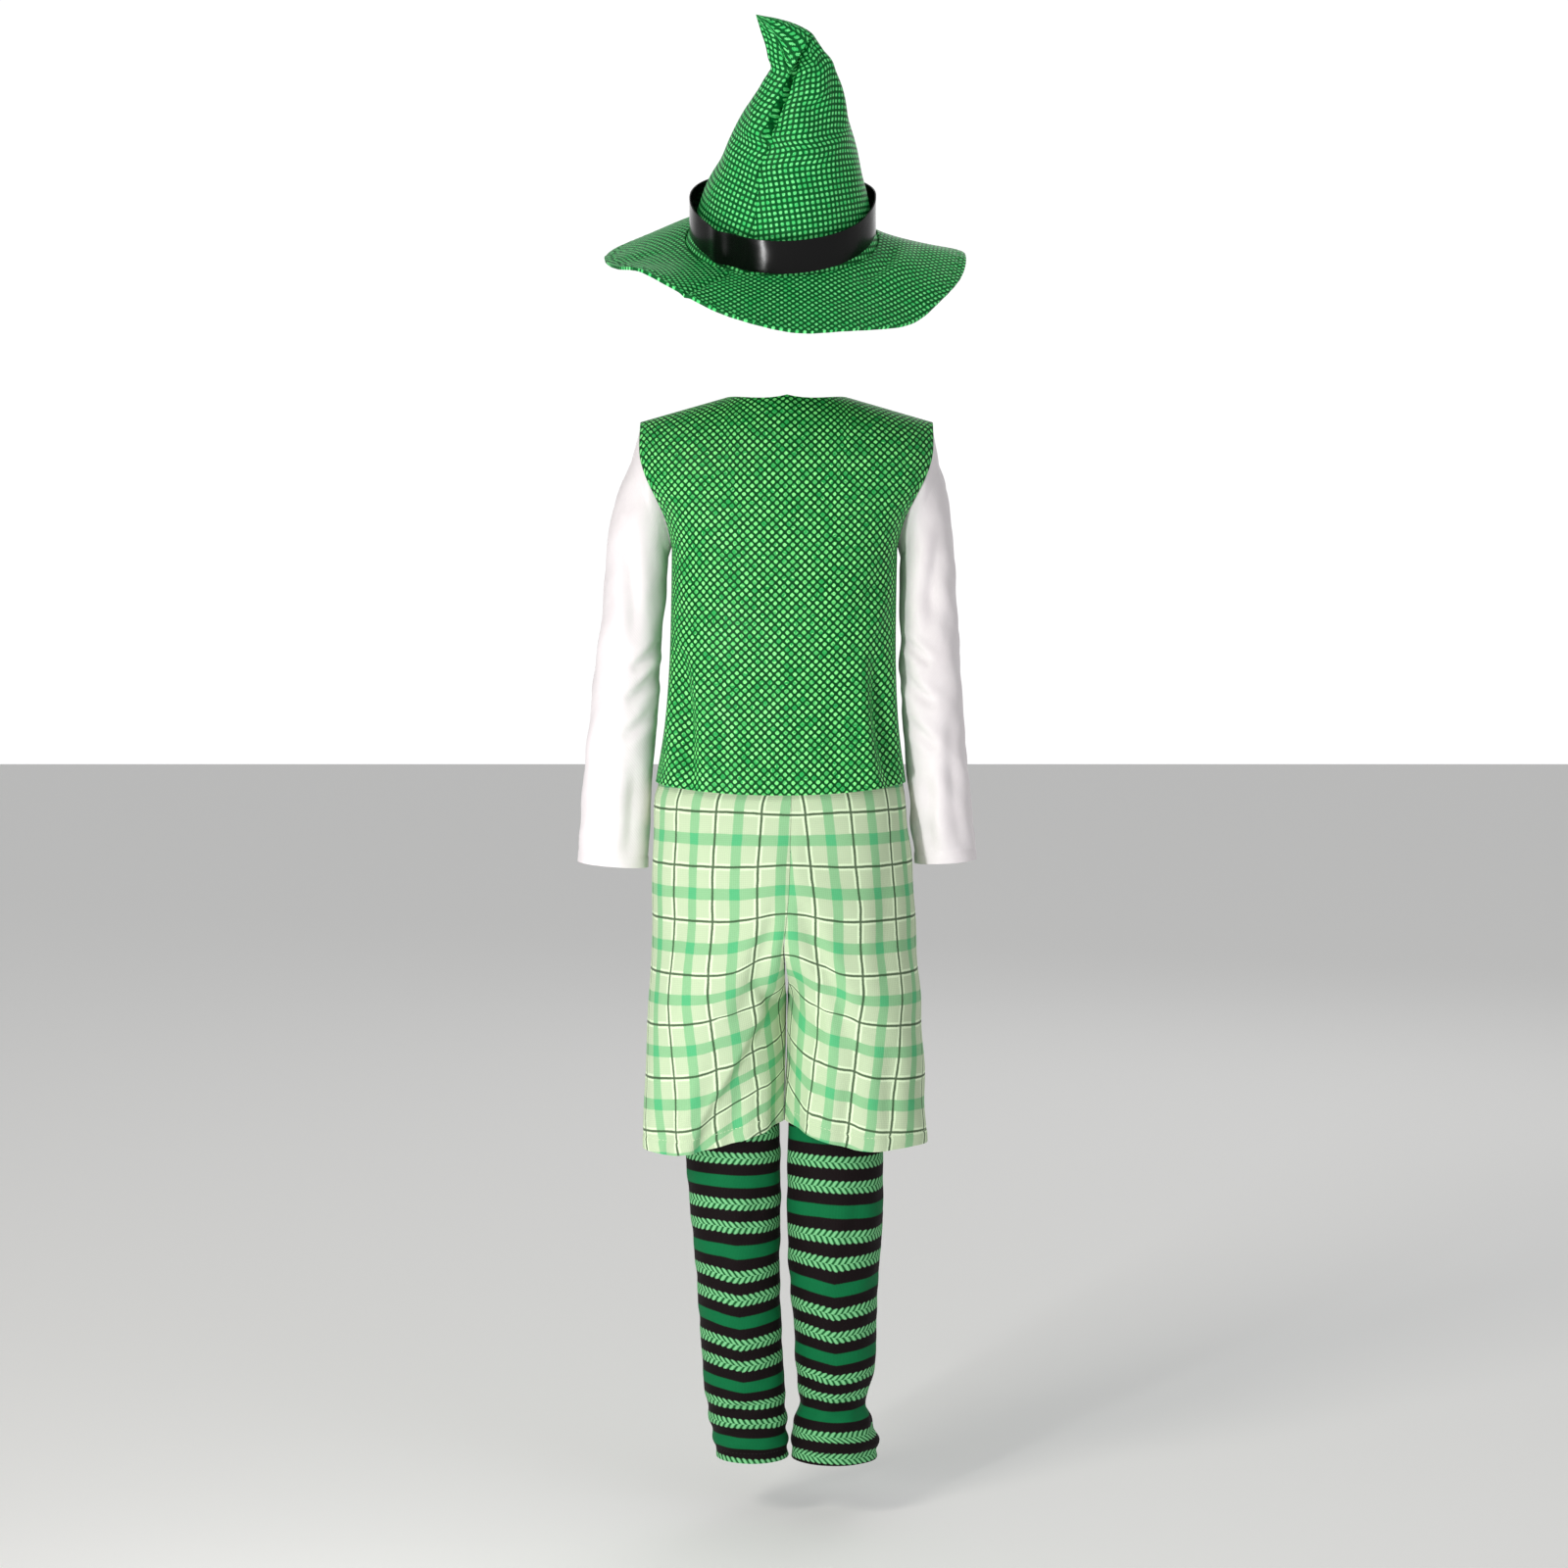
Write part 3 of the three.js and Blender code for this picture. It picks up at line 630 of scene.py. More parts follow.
@dataclass(frozen=True)
class PlaidCloth:
    """Yarn-dyed plain-weave cotton blend: the bands are half of each colour where they cross."""

    name: str
    cell: Pair = (45.0, 53.5)
    ground: str = "#bfd2ae"
    band: str = "#8dc18f"
    crossing: str = "#57b77c"
    line: str = "#2f4a2c"
    pale: str = "#e6fbd4"
    band_widths: Pair = (10.0, 11.3)

    def make(self) -> bpy.types.Material:
        """Build the material from the piece's cut, in mm.

        Returns:
            The material.
        """
        material, add = new_material(self.name)
        place = cut_in_mm(add)
        axes = add("SeparateXYZ", {0: wander(add, place, 0.05, 2.0, 1.6)})
        fine = add("TexNoise", {"Vector": place, "Scale": 0.9, "Detail": 2.0})
        yarn = {"Vector": place, "Scale": 0.16, "Distortion": 0.8, "Detail": 1.0}
        bands, lines, pales, threads = [], [], [], []
        for axis, direction in enumerate("XY"):
            half = self.cell[axis] / 2
            away = add("Math", {0: axes.outputs[axis], 1: half}, operation="PINGPONG")
            rough_away = add("Math", {0: fine.outputs[0], 1: 0.7, 2: away}, operation="MULTIPLY_ADD")
            edge = half - self.band_widths[axis] / 2
            # Where each yarn colour begins and ends, in mm from the middle of the dark line
            steps = []
            places = ((edge - 0.3, edge + 0.9, 1.0), (1.1, 1.9, 0.0), (1.4, 2.2, 1.0), (3.0, 4.4, 0.0))
            for start, end, past in places:
                ends = {"From Min": start, "From Max": end, "To Min": 1.0 - past, "To Max": past}
                steps.append(add("MapRange", {"Value": rough_away, **ends}, interpolation_type="SMOOTHSTEP"))
            bands.append(steps[0])
            lines.append(steps[1])
            pales.append(add("Math", {0: steps[2], 1: steps[3]}, operation="MULTIPLY"))
            threads.append(add("TexWave", yarn, bands_direction=direction))

        weave = add("Math", {0: threads[0], 1: threads[1]}, operation="ADD")
        pale_any = add("Math", {0: pales[0], 1: pales[1]}, operation="MAXIMUM")
        pale_share = add("Math", {0: pale_any, 1: 0.75}, operation="MULTIPLY")
        band_any = add("Math", {0: bands[0], 1: bands[1]}, operation="MAXIMUM")
        band_both = add("Math", {0: bands[0], 1: bands[1]}, operation="MULTIPLY")
        line_any = add("Math", {0: lines[0], 1: lines[1]}, operation="MAXIMUM")
        line_share = add("Math", {0: line_any, 1: 0.88}, operation="MULTIPLY")
        colour: object = linear(self.ground)
        layers = [
            (pale_share, self.pale),
            (band_any, self.band),
            (band_both, self.crossing),
            (line_share, self.line),
        ]
        for share, code in layers:
            mix = add("Mix", {0: share, 6: colour, 7: linear(code)}, data_type="RGBA")
            colour = mix.outputs[2]
        tint = add("MapRange", {"Value": weave, "From Max": 2.0, "To Min": 0.93, "To Max": 1.04})
        woven = add("VectorMath", {0: colour, 3: tint.outputs[0]}, operation="SCALE")
        bump = add("Bump", {"Height": weave, "Distance": 0.00015, "Strength": 0.6})
        roughness = add("MapRange", {"Value": fine, "To Min": 0.7, "To Max": 0.9})
        shader = {"Sheen Weight": 0.05, "Sheen Roughness": 0.5, "Specular IOR Level": 0.2}
        close_material(add, woven, roughness, bump, shader)
        return material


@dataclass(frozen=True)
class StripedJersey:
    """Knitted polyester jersey: black, with plain green stripes and pairs of stripes knitted as a braid."""

    name: str
    pitch: float = 22.8
    green_width: float = 12.2
    braid_width: float = 11.0
    strand: float = 6.2
    black: str = "#130b0d"
    green: str = "#04673a"
    pale_green: str = "#1c7d4c"
    light: str = "#7cc58a"
    mid: str = "#3f8c53"
    dark: str = "#0f4521"

    def make(self) -> bpy.types.Material:
        """Build the material from the piece's cut: its second axis counts the stripes.

        Returns:
            The material.
        """
        material, add = new_material(self.name)
        place = cut_in_mm(add)
        axes = add("SeparateXYZ", {0: place})
        around, along = axes.outputs[0], axes.outputs[1]
        fuzz = add("TexNoise", {"Vector": place, "Scale": 0.8, "Detail": 2.0})
        count = add("Math", {0: along, 1: self.pitch}, operation="DIVIDE")
        stripe = add("Math", {0: count}, operation="ROUND")
        centre = add("Math", {0: stripe, 1: self.pitch}, operation="MULTIPLY")
        off = add("Math", {0: along, 1: centre}, operation="SUBTRACT")
        size = add("Math", {0: off}, operation="ABSOLUTE")
        soft = add("Math", {0: fuzz.outputs[0], 1: 0.9, 2: size}, operation="MULTIPLY_ADD")
        rest = add("Math", {0: stripe, 1: 1.5}, operation="PINGPONG")
        is_braid = add("Math", {0: rest, 1: 0.25}, operation="GREATER_THAN")

        half = self.green_width / 2
        fall = {"Value": soft, "From Min": half, "From Max": half + 1.0, "To Min": 1.0, "To Max": 0.0}
        green_mask = add("MapRange", fall)
        is_upper = add("Math", {0: off, 1: 0.0}, operation="GREATER_THAN")
        shifted = {0: is_upper, 1: self.strand / 2, 2: around}
        staggered = add("Math", shifted, operation="MULTIPLY_ADD")
        sheared = add("Math", {0: size, 1: 0.75, 2: staggered}, operation="MULTIPLY_ADD")
        turn = add("Math", {0: sheared, 1: 2 * math.pi / self.strand}, operation="MULTIPLY")
        wave = add("Math", {0: turn}, operation="COSINE")
        half = self.braid_width / 2
        scallop = add("Math", {0: wave, 1: -0.55, 2: soft}, operation="MULTIPLY_ADD")
        ends = {"From Min": half - 0.1, "From Max": half + 0.8, "To Min": 1.0, "To Max": 0.0}
        braid_mask = add("MapRange", {"Value": scallop, **ends})
        strands = add("MapRange", {"Value": wave, "From Min": -1.0, "From Max": 1.0})
        stops = [(0.0, self.dark), (0.34, self.mid), (0.72, self.light), (1.0, self.light)]
        braid = set_ramp(add("ValToRGB", {0: strands}), stops)
        share = add("Math", {0: fuzz.outputs[0], 1: 0.25}, operation="MULTIPLY")
        greens = {0: share, 6: linear(self.green), 7: linear(self.pale_green)}
        green = add("Mix", greens, data_type="RGBA")
        kinds = []
        for mask, yarn in ((green_mask, green.outputs[2]), (braid_mask, braid.outputs[0])):
            kinds.append(add("Mix", {0: mask, 6: linear(self.black), 7: yarn}, data_type="RGBA").outputs[2])
        colour = add("Mix", {0: is_braid, 6: kinds[0], 7: kinds[1]}, data_type="RGBA")
        knit = add(
            "TexWave", {"Vector": place, "Scale": 0.22, "Distortion": 1.0, "Detail": 1.0},
            bands_direction="X",
        )
        tint = add("MapRange", {"Value": knit, "To Min": 0.88, "To Max": 1.05})
        knitted = add("VectorMath", {0: colour.outputs[2], 3: tint.outputs[0]}, operation="SCALE")
        bump = add("Bump", {"Height": knit, "Distance": 0.0002, "Strength": 0.6})
        shader = {"Sheen Weight": 0.015, "Sheen Roughness": 0.5, "Specular IOR Level": 0.1}
        close_material(add, knitted, 0.75, bump, shader)
        return material


@dataclass(frozen=True)
class WhiteSatin:
    """Thin white polyester satin: smooth, a little sheer, with warm grey shade painted in soft patches,
    standing in for the shade of its folds.
    """

    name: str
    white: str = "#f1ecee"
    # The colour of painted shade, mixed in over soft patches.
    shade: str = "#e4dde0"

    def make(self) -> bpy.types.Material:
        """Build the material.

        Returns:
            The material.
        """
        material, add = new_material(self.name)
        place = cut_in_mm(add)
        patches = add("TexNoise", {"Vector": place, "Scale": 0.03, "Detail": 3.0})
        # Painted shade: soft noise patches mix the shade colour into the white.
        colour = add(
            "Mix", {0: patches.outputs[0], 6: linear(self.shade), 7: linear(self.white)}, data_type="RGBA"
        )
        weave = add(
            "TexWave", {"Vector": place, "Scale": 0.2, "Distortion": 1.5, "Detail": 2.0},
            bands_direction="DIAGONAL",
        )
        crumple = add("TexNoise", {"Vector": place, "Scale": 0.06, "Detail": 2.0})
        height = add("Math", {0: weave, 1: 0.08, 2: crumple.outputs[0]}, operation="MULTIPLY_ADD")
        bump = add("Bump", {"Height": height, "Distance": 0.0012, "Strength": 0.5})
        shader = {"Sheen Weight": 0.1, "Sheen Roughness": 0.4, "Specular IOR Level": 0.3}
        close_material(add, colour.outputs[2], 0.5, bump, shader)
        return material


@dataclass(frozen=True)
class BlackVinyl:
    """Cast PVC film on a knitted backing: nearly black, with a soft gloss and a fine grain."""

    name: str
    black: str = "#0a0a0b"

    def make(self) -> bpy.types.Material:
        """Build the material.

        Returns:
            The material.
        """
        material, add = new_material(self.name)
        place = cut_in_mm(add)
        grain = add("TexVoronoi", {"Vector": place, "Scale": 0.9}, feature="DISTANCE_TO_EDGE")
        waves = add("TexNoise", {"Vector": place, "Scale": 0.05, "Detail": 1.0})
        height = add("Math", {0: grain, 1: 0.1, 2: waves.outputs[0]}, operation="MULTIPLY_ADD")
        bump = add("Bump", {"Height": height, "Distance": 0.0006, "Strength": 0.4})
        roughness = add("MapRange", {"Value": waves, "To Min": 0.13, "To Max": 0.2})
        shader = {"Specular IOR Level": 0.2}
        close_material(add, linear(self.black), roughness, bump, shader)
        return material


@dataclass(frozen=True)
class Thread:
    """Spun polyester sewing thread: two strands twisted together, with a dull surface."""

    name: str
    colour: str

    def make(self) -> bpy.types.Material:
        """Build the material on Object coordinates.

        Returns:
            The material.
        """
        material, add = new_material(self.name)
        place = add("TexCoord")
        twist = add("TexNoise", {"Vector": place.outputs["Object"], "Scale": 900.0, "Detail": 1.0})
        bump = add("Bump", {"Height": twist, "Distance": 0.0002, "Strength": 0.5})
        close_material(add, linear(self.colour), 0.7, bump, {"Specular IOR Level": 0.3})
        return material


# Hat


@dataclass(frozen=True)
class HatFrame:
    """The hat's own frame: it stands on the crown's base ring and leans back with the head."""

    lean: float = 26.0
    centre: Point = (5.0, 2.0, 159.0)

    def axes(self) -> tuple[Grid, Grid, Grid]:
        """Return the directions to the side, to the rear and up the hat.

        Returns:
            Three unit directions.
        """
        lean = math.radians(self.lean)
        rear = np.array([0.0, math.cos(lean), -math.sin(lean)])
        up = np.array([0.0, math.sin(lean), math.cos(lean)])
        return np.array([1.0, 0.0, 0.0]), rear, up

    def place(self, side: Grid, rear: Grid, height: Grid) -> Grid:
        """Turn sizes in the hat's frame to points in the costume's frame, in mm.

        Args:
            side: sizes to the side.
            rear: sizes to the rear.
            height: sizes up the hat.

        Returns:
            The points in mm.
        """
        to_side, to_rear, to_up = self.axes()
        side, rear, height = np.broadcast_arrays(side, rear, height)
        shift = side[..., None] * to_side + rear[..., None] * to_rear + height[..., None] * to_up
        return np.array(self.centre) + shift


@dataclass(frozen=True)
class RingCrease:
    """A soft fold of the crown: its angle, how far it reaches round and the heights between which it runs."""

    angle: float
    half_angle: float
    low: float
    high: float
    depth: float
    drift: float = 0.0

    def depth_at(self, angle: Grid, height: Grid) -> Grid:
        """Return how far the cloth sinks at each place."""
        reach = np.clip((height - self.low) / (self.high - self.low), 0.0, 1.0)
        turn = np.mod(angle - self.angle - self.drift * reach + 180.0, 360.0) - 180.0
        return self.depth * bell(turn, self.half_angle) * np.sin(np.pi * reach)


@dataclass(frozen=True)
class Lap:
    """A fold at the back of the crown: the cloth on the wearer's left lies over the cloth on the right.

    The edge gives, at heights up the hat, where the fold's edge lies and how far it rises.
    """

    edge: Sections
    edge_width: float = 0.9
    fade: float = 30.0
    crevice: float = 2.4
    crevice_place: float = -2.6
    crevice_width: float = 1.8

    def depth_at(self, side: Grid, height: Grid) -> Grid:
        """Return how far the cloth sinks beside the edge, or rises where it lies on top.

        Args:
            side: places to the side of the hat's middle.
            height: heights up the hat.

        Returns:
            The depth at each place in mm.
        """
        off = side - self.edge.read(height, "side")
        over = smooth_step(off, -self.edge_width, self.edge_width) * bell(np.maximum(off, 0.0), self.fade)
        under = self.crevice * bell(off - self.crevice_place, self.crevice_width)
        return self.edge.read(height, "rise") * (under - over)


@dataclass
class Hat:
    """Pointed hat with a bent, crumpled tip, a floppy brim and a loose band of vinyl."""

    place: HatFrame = HatFrame()
    felt_wall: float = 1.8
    brim_wall: float = 3.0
    band_wall: float = 1.2
    crown_columns: int = 200
    crown_step: float = 2.6
    crown_slant: float = 300.0
    crown_turn: float = 117.8
    seam_groove: float = 1.9
    crown: Sections = Sections(
        ("height", "shift", "lean", "half_width", "half_depth"),
        (
            (-2, 0, 0, 94.8, 100), (14, -1, 0, 88.6, 93.8), (30, -2, 0, 84.6, 89.4),
            (58, -4, 0, 76.5, 81.5), (79, -7.6, 0, 68.1, 72), (100, -9.4, 0, 60.8, 63.5),
            (122, -12.2, 0, 53, 54), (142, -15.3, 1, 45, 44), (156, -17.4, 2, 39, 37),
            (168, -18.2, 4, 33.7, 30), (178.8, -20, 4.2, 28.3, 24), (188.3, -14, 4.5, 26.3, 18),
            (196.5, -9.8, 5.9, 24.4, 14.5), (205.3, -4.8, 6, 22.4, 11.5), (214, 5.2, 11, 15.5, 8.5),
            (220.5, 14.4, 10, 8.5, 5.5), (223.2, 19.9, 9, 4, 3),
        ),
    )
    crown_tip: Pair = (225.9, 24.6)
    crumple_low: float = 90.0
    crumple_rows: int = 108
    back_fade: Pair = (-0.1, 0.4)
    deepest: float = 0.45
    crown_waves: Waves = Waves(11, 46.0, 0.7)
    waves_start: Pair = (34.0, 70.0)
    waves_end: Pair = (-224.0, -205.0)
    groove_end: Pair = (-212.0, -190.0)
    seam_share: float = 0.12
    hollow_top: float = 178.8
    crown_creases: tuple[RingCrease, ...] = each(
        RingCrease, (70, 12, 90, 180, 5), (104, 16, 60, 145, -2.5), (42, 15, 110, 188, -3),
        (150, 15, 100, 174, 3), (262, 16, 85, 174, 4), (300, 18, 65, 142, -2.5),
        (205, 9, 122, 188, 2.4, 12), (240, 7, 132, 192, -2.4, -12), (283, 8, 127, 188, 2.6, 10),
        (320, 9, 113, 178, -2.2, -10), (345, 9, 132, 188, 2.2, 8),
    )
    crown_folds: tuple[Crease, ...] = each(
        Crease, ((-6, 163), (-54, 112), 3.4, 10, 6), ((0, 117), (-74, 80), -2, 8, 4),
        ((-12, 92), (-46, 70), 1.4, 6, 2), ((12, 110), (10, 34), -1.7, 5.5, 2),
        ((17, 106), (21, 58), 1.8, 3.6, 2), ((-42, 196), (-8, 164), -2.8, 2.6, 0),
        ((-36, 198), (-8, 171), 2.2, 2, 0), ((-31, 187), (-8, 172), -1.8, 1.8, 0),
        ((-42, 184), (-4, 155), 1.8, 3.4, 1), ((-50, 172), (-12, 146), -1.4, 5, 2),
        ((0, 127), (15, 134), 2.4, 2.4, 0), ((34, 158), (20, 122), -1.4, 5, 2),
        ((6, 178), (14, 146), 1.2, 4, -2), ((44, 120), (34, 60), 1, 9, 3),
        ((-64, 108), (-58, 40), 1, 8, -3),
    )
    lap: Lap = Lap(
        Sections(
            ("height", "side", "rise"),
            (
                (110, 14, 0), (122, 16, 2.4), (131, 12.5, 3.8), (149, 4.4, 4.2), (160, -1, 4.6),
                (170, -5, 5), (190, -16, 5.5), (206, -25, 4.2), (215, -30, 0),
            ),
        )
    )
    brim_columns: int = 360
    brim_clearance: float = 0.6
    brim_stitch_inset: float = 8.0
    brim_groove: float = 0.7
    brim_seam_groove: float = 2.4
    brim_tuck: float = 2.4
    brim_waves: Waves = Waves(23, 95.0, 0.9)
    pucker: float = 0.45
    puckers: float = 61.0
    brim_edge: Sections = Sections(
        ("angle", "rise", "reach", "curve"),
        (
            (-20, -33, 176, 1.25), (0, -19, 174, 1.25), (14, -8, 176, 1.25), (28, 3, 178, 1.25),
            (42, 15, 180, 1.25), (56, 10, 181, 1.25), (72, -6, 182, 1.25), (86, -17, 181, 1.25),
            (96, -23, 181, 1.25), (108, -26, 181, 1.25), (120, -30, 181, 1.25), (134, -33, 182, 1.25),
            (148, -26, 181, 1.25), (164, -21, 181, 1.25), (180, -19, 181, 1.1), (194, -29, 181, 0.8),
            (210, -42, 181, 0.6), (226, -57, 180, 0.65), (238, -50, 180, 0.9), (252, -42, 180, 1.25),
            (270, -38, 180, 1.25), (294, -38, 180, 1.25), (318, -39, 179, 1.25), (340, -33, 176, 1.25),
            (360, -19, 174, 1.25), (374, -8, 176, 1.25),
        ),
    )
    brim_folds: tuple[Crease, ...] = each(
        Crease, ((-108, 18), (-72, 96), 3.6, 6, -8), ((-126, 6), (-92, 104), -2.4, 10, -8),
        ((-20, 118), (-90, 126), 1.6, 12, 4), ((66, 112), (20, 150), -1.4, 14, 4),
        ((120, 30), (150, 70), 1.8, 12, 4),
    )
    base_radius: float = 98.0
    brim_seam: float = 60.0
    brim_grain: float = 103.0
    brim_turn: float = 385.0
    band_height: float = 32.0
    band_lean: float = 5.0
    band_side_height: float = 12.0
    band_softness: float = 0.2
    band_waves: Waves = Waves(5, 70.0, 0.5)
    band_clearance: float = 0.8
    band_buckles: tuple[Pair, ...] = ((49.0, 4.2), (61.0, -1.5))
    band_buckle_width: float = 9.5
    band_columns: int = 256
    band_rows: int = 13
    seam: Sections = Sections(
        ("height", "angle"),
        (
            (-2, 68), (50, 68), (77, 64), (98, 61), (112, 64), (122, 57), (131, 58), (149, 60),
            (160, 64), (172, 67), (223, 75),
        ),
    )

    def crown_heights(self) -> Grid:
        """Return the heights of the crown's rows, closer together in the crumple."""
        low, high = self.crown.rows[0][0], self.crown.rows[-1][0]
        plain = np.arange(low, self.crumple_low, self.crown_step)
        return np.concatenate([plain, np.linspace(self.crumple_low, high, self.crumple_rows)])

    def crown_surface(self, height: Grid, angle: Grid) -> Grid:
        """Return points of the crown's outer face at heights in mm and angles in degrees.

        Args:
            height: heights up the hat.
            angle: angles round it, from the side.

        Returns:
            The points in mm.
        """
        read = self.crown.read
        half_width, half_depth = read(height, "half_width"), read(height, "half_depth")
        cosine, sine = np.cos(np.radians(angle)), np.sin(np.radians(angle))
        across = read(height, "shift") + half_width * cosine
        folds = total_depth(self.crown_folds, across, height) + self.lap.depth_at(across, height)
        depth = total_depth(self.crown_creases, angle, height) + folds * smooth_step(sine, *self.back_fade)
        depth = np.minimum(depth, self.deepest * half_depth)
        soft = self.crown_waves.at(angle * 1.1, height)
        fade = smooth_step(height, *self.waves_start) * smooth_step(-height, *self.waves_end)
        depth = depth + soft * fade
        lean = np.radians(read(height, "lean"))
        side = (half_width - depth) * cosine
        rear = (half_depth - depth) * sine
        shift = read(height, "shift") + side * np.cos(lean)
        return self.place.place(shift, rear, height - side * np.sin(lean))

    def build_crown(self) -> Cloth:
        """Make the crown, with its seam at the back and its cut as a sector of a circle.

        Returns:
            The cloth, ready to build.
        """
        height = self.crown_heights()[:, None]
        column = np.arange(self.crown_columns)[None, :]
        seam = self.seam.read(height, "angle")
        angle = seam + 360.0 * column / self.crown_columns
        outer = self.crown_surface(height, angle)
        steps = np.minimum(column, self.crown_columns - column)
        groove = self.seam_groove * bell(steps, 0.8) * smooth_step(-height, *self.groove_end)
        outer = outer - outward_normals(outer, True) * groove[..., None]
        slant = self.crown_slant - column_lengths(outer)
        slant = wrap(slant)
        share = np.arange(self.crown_columns + 1)[None, :] / self.crown_columns
        around = np.radians(self.crown_turn * (share - self.seam_share)) * np.ones_like(height)
        cut = np.stack([slant * np.sin(around), -slant * np.cos(around)], axis=2)
        tip_height, tip_shift = self.crown_tip
        tip = self.place.place(np.array(tip_shift), np.array(0.0), np.array(tip_height))
        hollow_rows = int(np.searchsorted(self.crown_heights(), self.hollow_top))
        return Cloth(
            "hat_crown_cloth", outer, cut, self.felt_wall, closed=True, tip=tuple(tip), inner_rows=hollow_rows
        )

    def brim_surface(self, angle: Grid, out: Grid) -> Grid:
        """Return points of the brim's upper face.

        Args:
            angle: angles in degrees.
            out: 0 at the crown and 1 at the edge.

        Returns:
            The points in mm.
        """
        base_width, base_depth = self.crown.rows[0][3:5]
        reach = self.brim_edge.read(angle, "reach")
        rise = self.brim_edge.read(angle, "rise")
        curve = self.brim_edge.read(angle, "curve")
        half_width = base_width + self.brim_clearance + (reach - base_width - self.brim_clearance) * out
        half_depth = base_depth + self.brim_clearance + (reach - base_depth - self.brim_clearance) * out
        from_edge = (1.0 - out) * (reach - base_width) - self.brim_stitch_inset
        ripple = self.brim_waves.at(angle * 3.0, 60.0 * out) * out
        pucker = self.pucker * np.sin(np.radians(angle * self.puckers)) * bell(from_edge, 5.0)
        groove = self.brim_groove * bell(from_edge, 1.5)
        around = (np.mod(angle - self.brim_seam + 180.0, 360.0) - 180.0) * 2.3
        groove = groove + self.brim_seam_groove * bell(around, 2.4) * smooth_step(out, 0.0, 0.1)
        turn = np.radians(angle)
        side, rear = half_width * np.cos(turn), half_depth * np.sin(turn)
        folds = total_depth(self.brim_folds, side, rear) * smooth_step(out, 0.0, 0.25)
        height = self.brim_wall / 2 + rise * out**curve + ripple + pucker - groove - folds
        return self.place.place(side, rear, height)

    def build_brim(self) -> Cloth:
        """Make the brim, two layers turned and topstitched, cut as a ring that is joined at its seam.

        Returns:
            The cloth, ready to build.
        """
        out = np.concatenate([np.linspace(0.0, 0.82, 26)[:-1], np.linspace(0.82, 1.0, 16)])[:, None]
        share = np.arange(self.brim_columns + 1)[None, :] / self.brim_columns
        angle = np.mod(self.brim_seam + 360.0 * share[:, :-1], 360.0)
        outer = self.brim_surface(angle, out)
        _, _, up = self.place.axes()
        base = self.crown.rows[0][3] + column_lengths(outer)
        base = wrap(base)
        turn = np.radians(self.brim_grain + self.brim_turn * share)
        cut = np.stack([base * np.cos(turn), base * np.sin(turn)], axis=2)

        def limit(inner: Grid) -> Grid:
            """Tuck the inner layer's first row under the crown's base.

            Args:
                inner: the inner points.

            Returns:
                The points with the first row tucked in.
            """
            inner = inner.copy()
            middle = outer[0].mean(axis=0)
            tuck = (middle - outer[0]) * self.brim_tuck / self.base_radius
            inner[0] = outer[0] - up * (self.brim_wall + 1.0) + tuck
            return inner

        return Cloth(
            "hat_brim_cloth", outer, cut, self.brim_wall, closed=True, away=np.broadcast_to(up, outer.shape),
            limit=limit,
        )

    def build_band(self) -> Cloth:
        """Make the band: its lower edge lies round the crown, lowest at the back and the front.

        Returns:
            The cloth, ready to build.
        """
        degrees = 360.0 * np.arange(self.band_columns)[None, :] / self.band_columns
        turn = np.radians(degrees)
        depth = float(self.crown.read(self.band_side_height, "half_depth"))
        swing = depth * math.tan(math.radians(self.band_lean))
        drop = np.hypot(np.sin(turn), self.band_softness) - self.band_softness
        full_drop = math.hypot(1.0, self.band_softness) - self.band_softness
        height = self.band_side_height - swing * drop / full_drop
        clear = self.band_clearance + self.band_wall
        side = (self.crown.read(height, "half_width") + clear) * np.cos(turn)
        rear = (self.crown.read(height, "half_depth") + clear) * np.sin(turn)
        lower = self.place.place(self.crown.read(height, "shift") + side, rear, height)
        lean = math.radians(self.place.lean - self.band_lean)
        axis = np.array([0.0, math.sin(lean), math.cos(lean)])
        up = np.linspace(0.0, 1.0, self.band_rows)[:, None]
        outer = lower + (up * self.band_height)[..., None] * axis
        wave = self.band_waves.at(degrees * 1.5, up * self.band_height) * (0.3 + 0.7 * up)
        wave = np.maximum(wave, -0.3)
        for place, height in self.band_buckles:
            away = np.radians(degrees - place) * self.crown.rows[0][3]
            wave = wave + height * bell(away, self.band_buckle_width)
        outer = outer + outward_normals(outer, True) * wave[..., None]
        around = row_lengths(wrap(outer), 0)
        cut = np.stack([around, np.broadcast_to(up * self.band_height, around.shape)], axis=2)
        return Cloth("hat_band_vinyl", outer, cut, self.band_wall, closed=True)


# Top


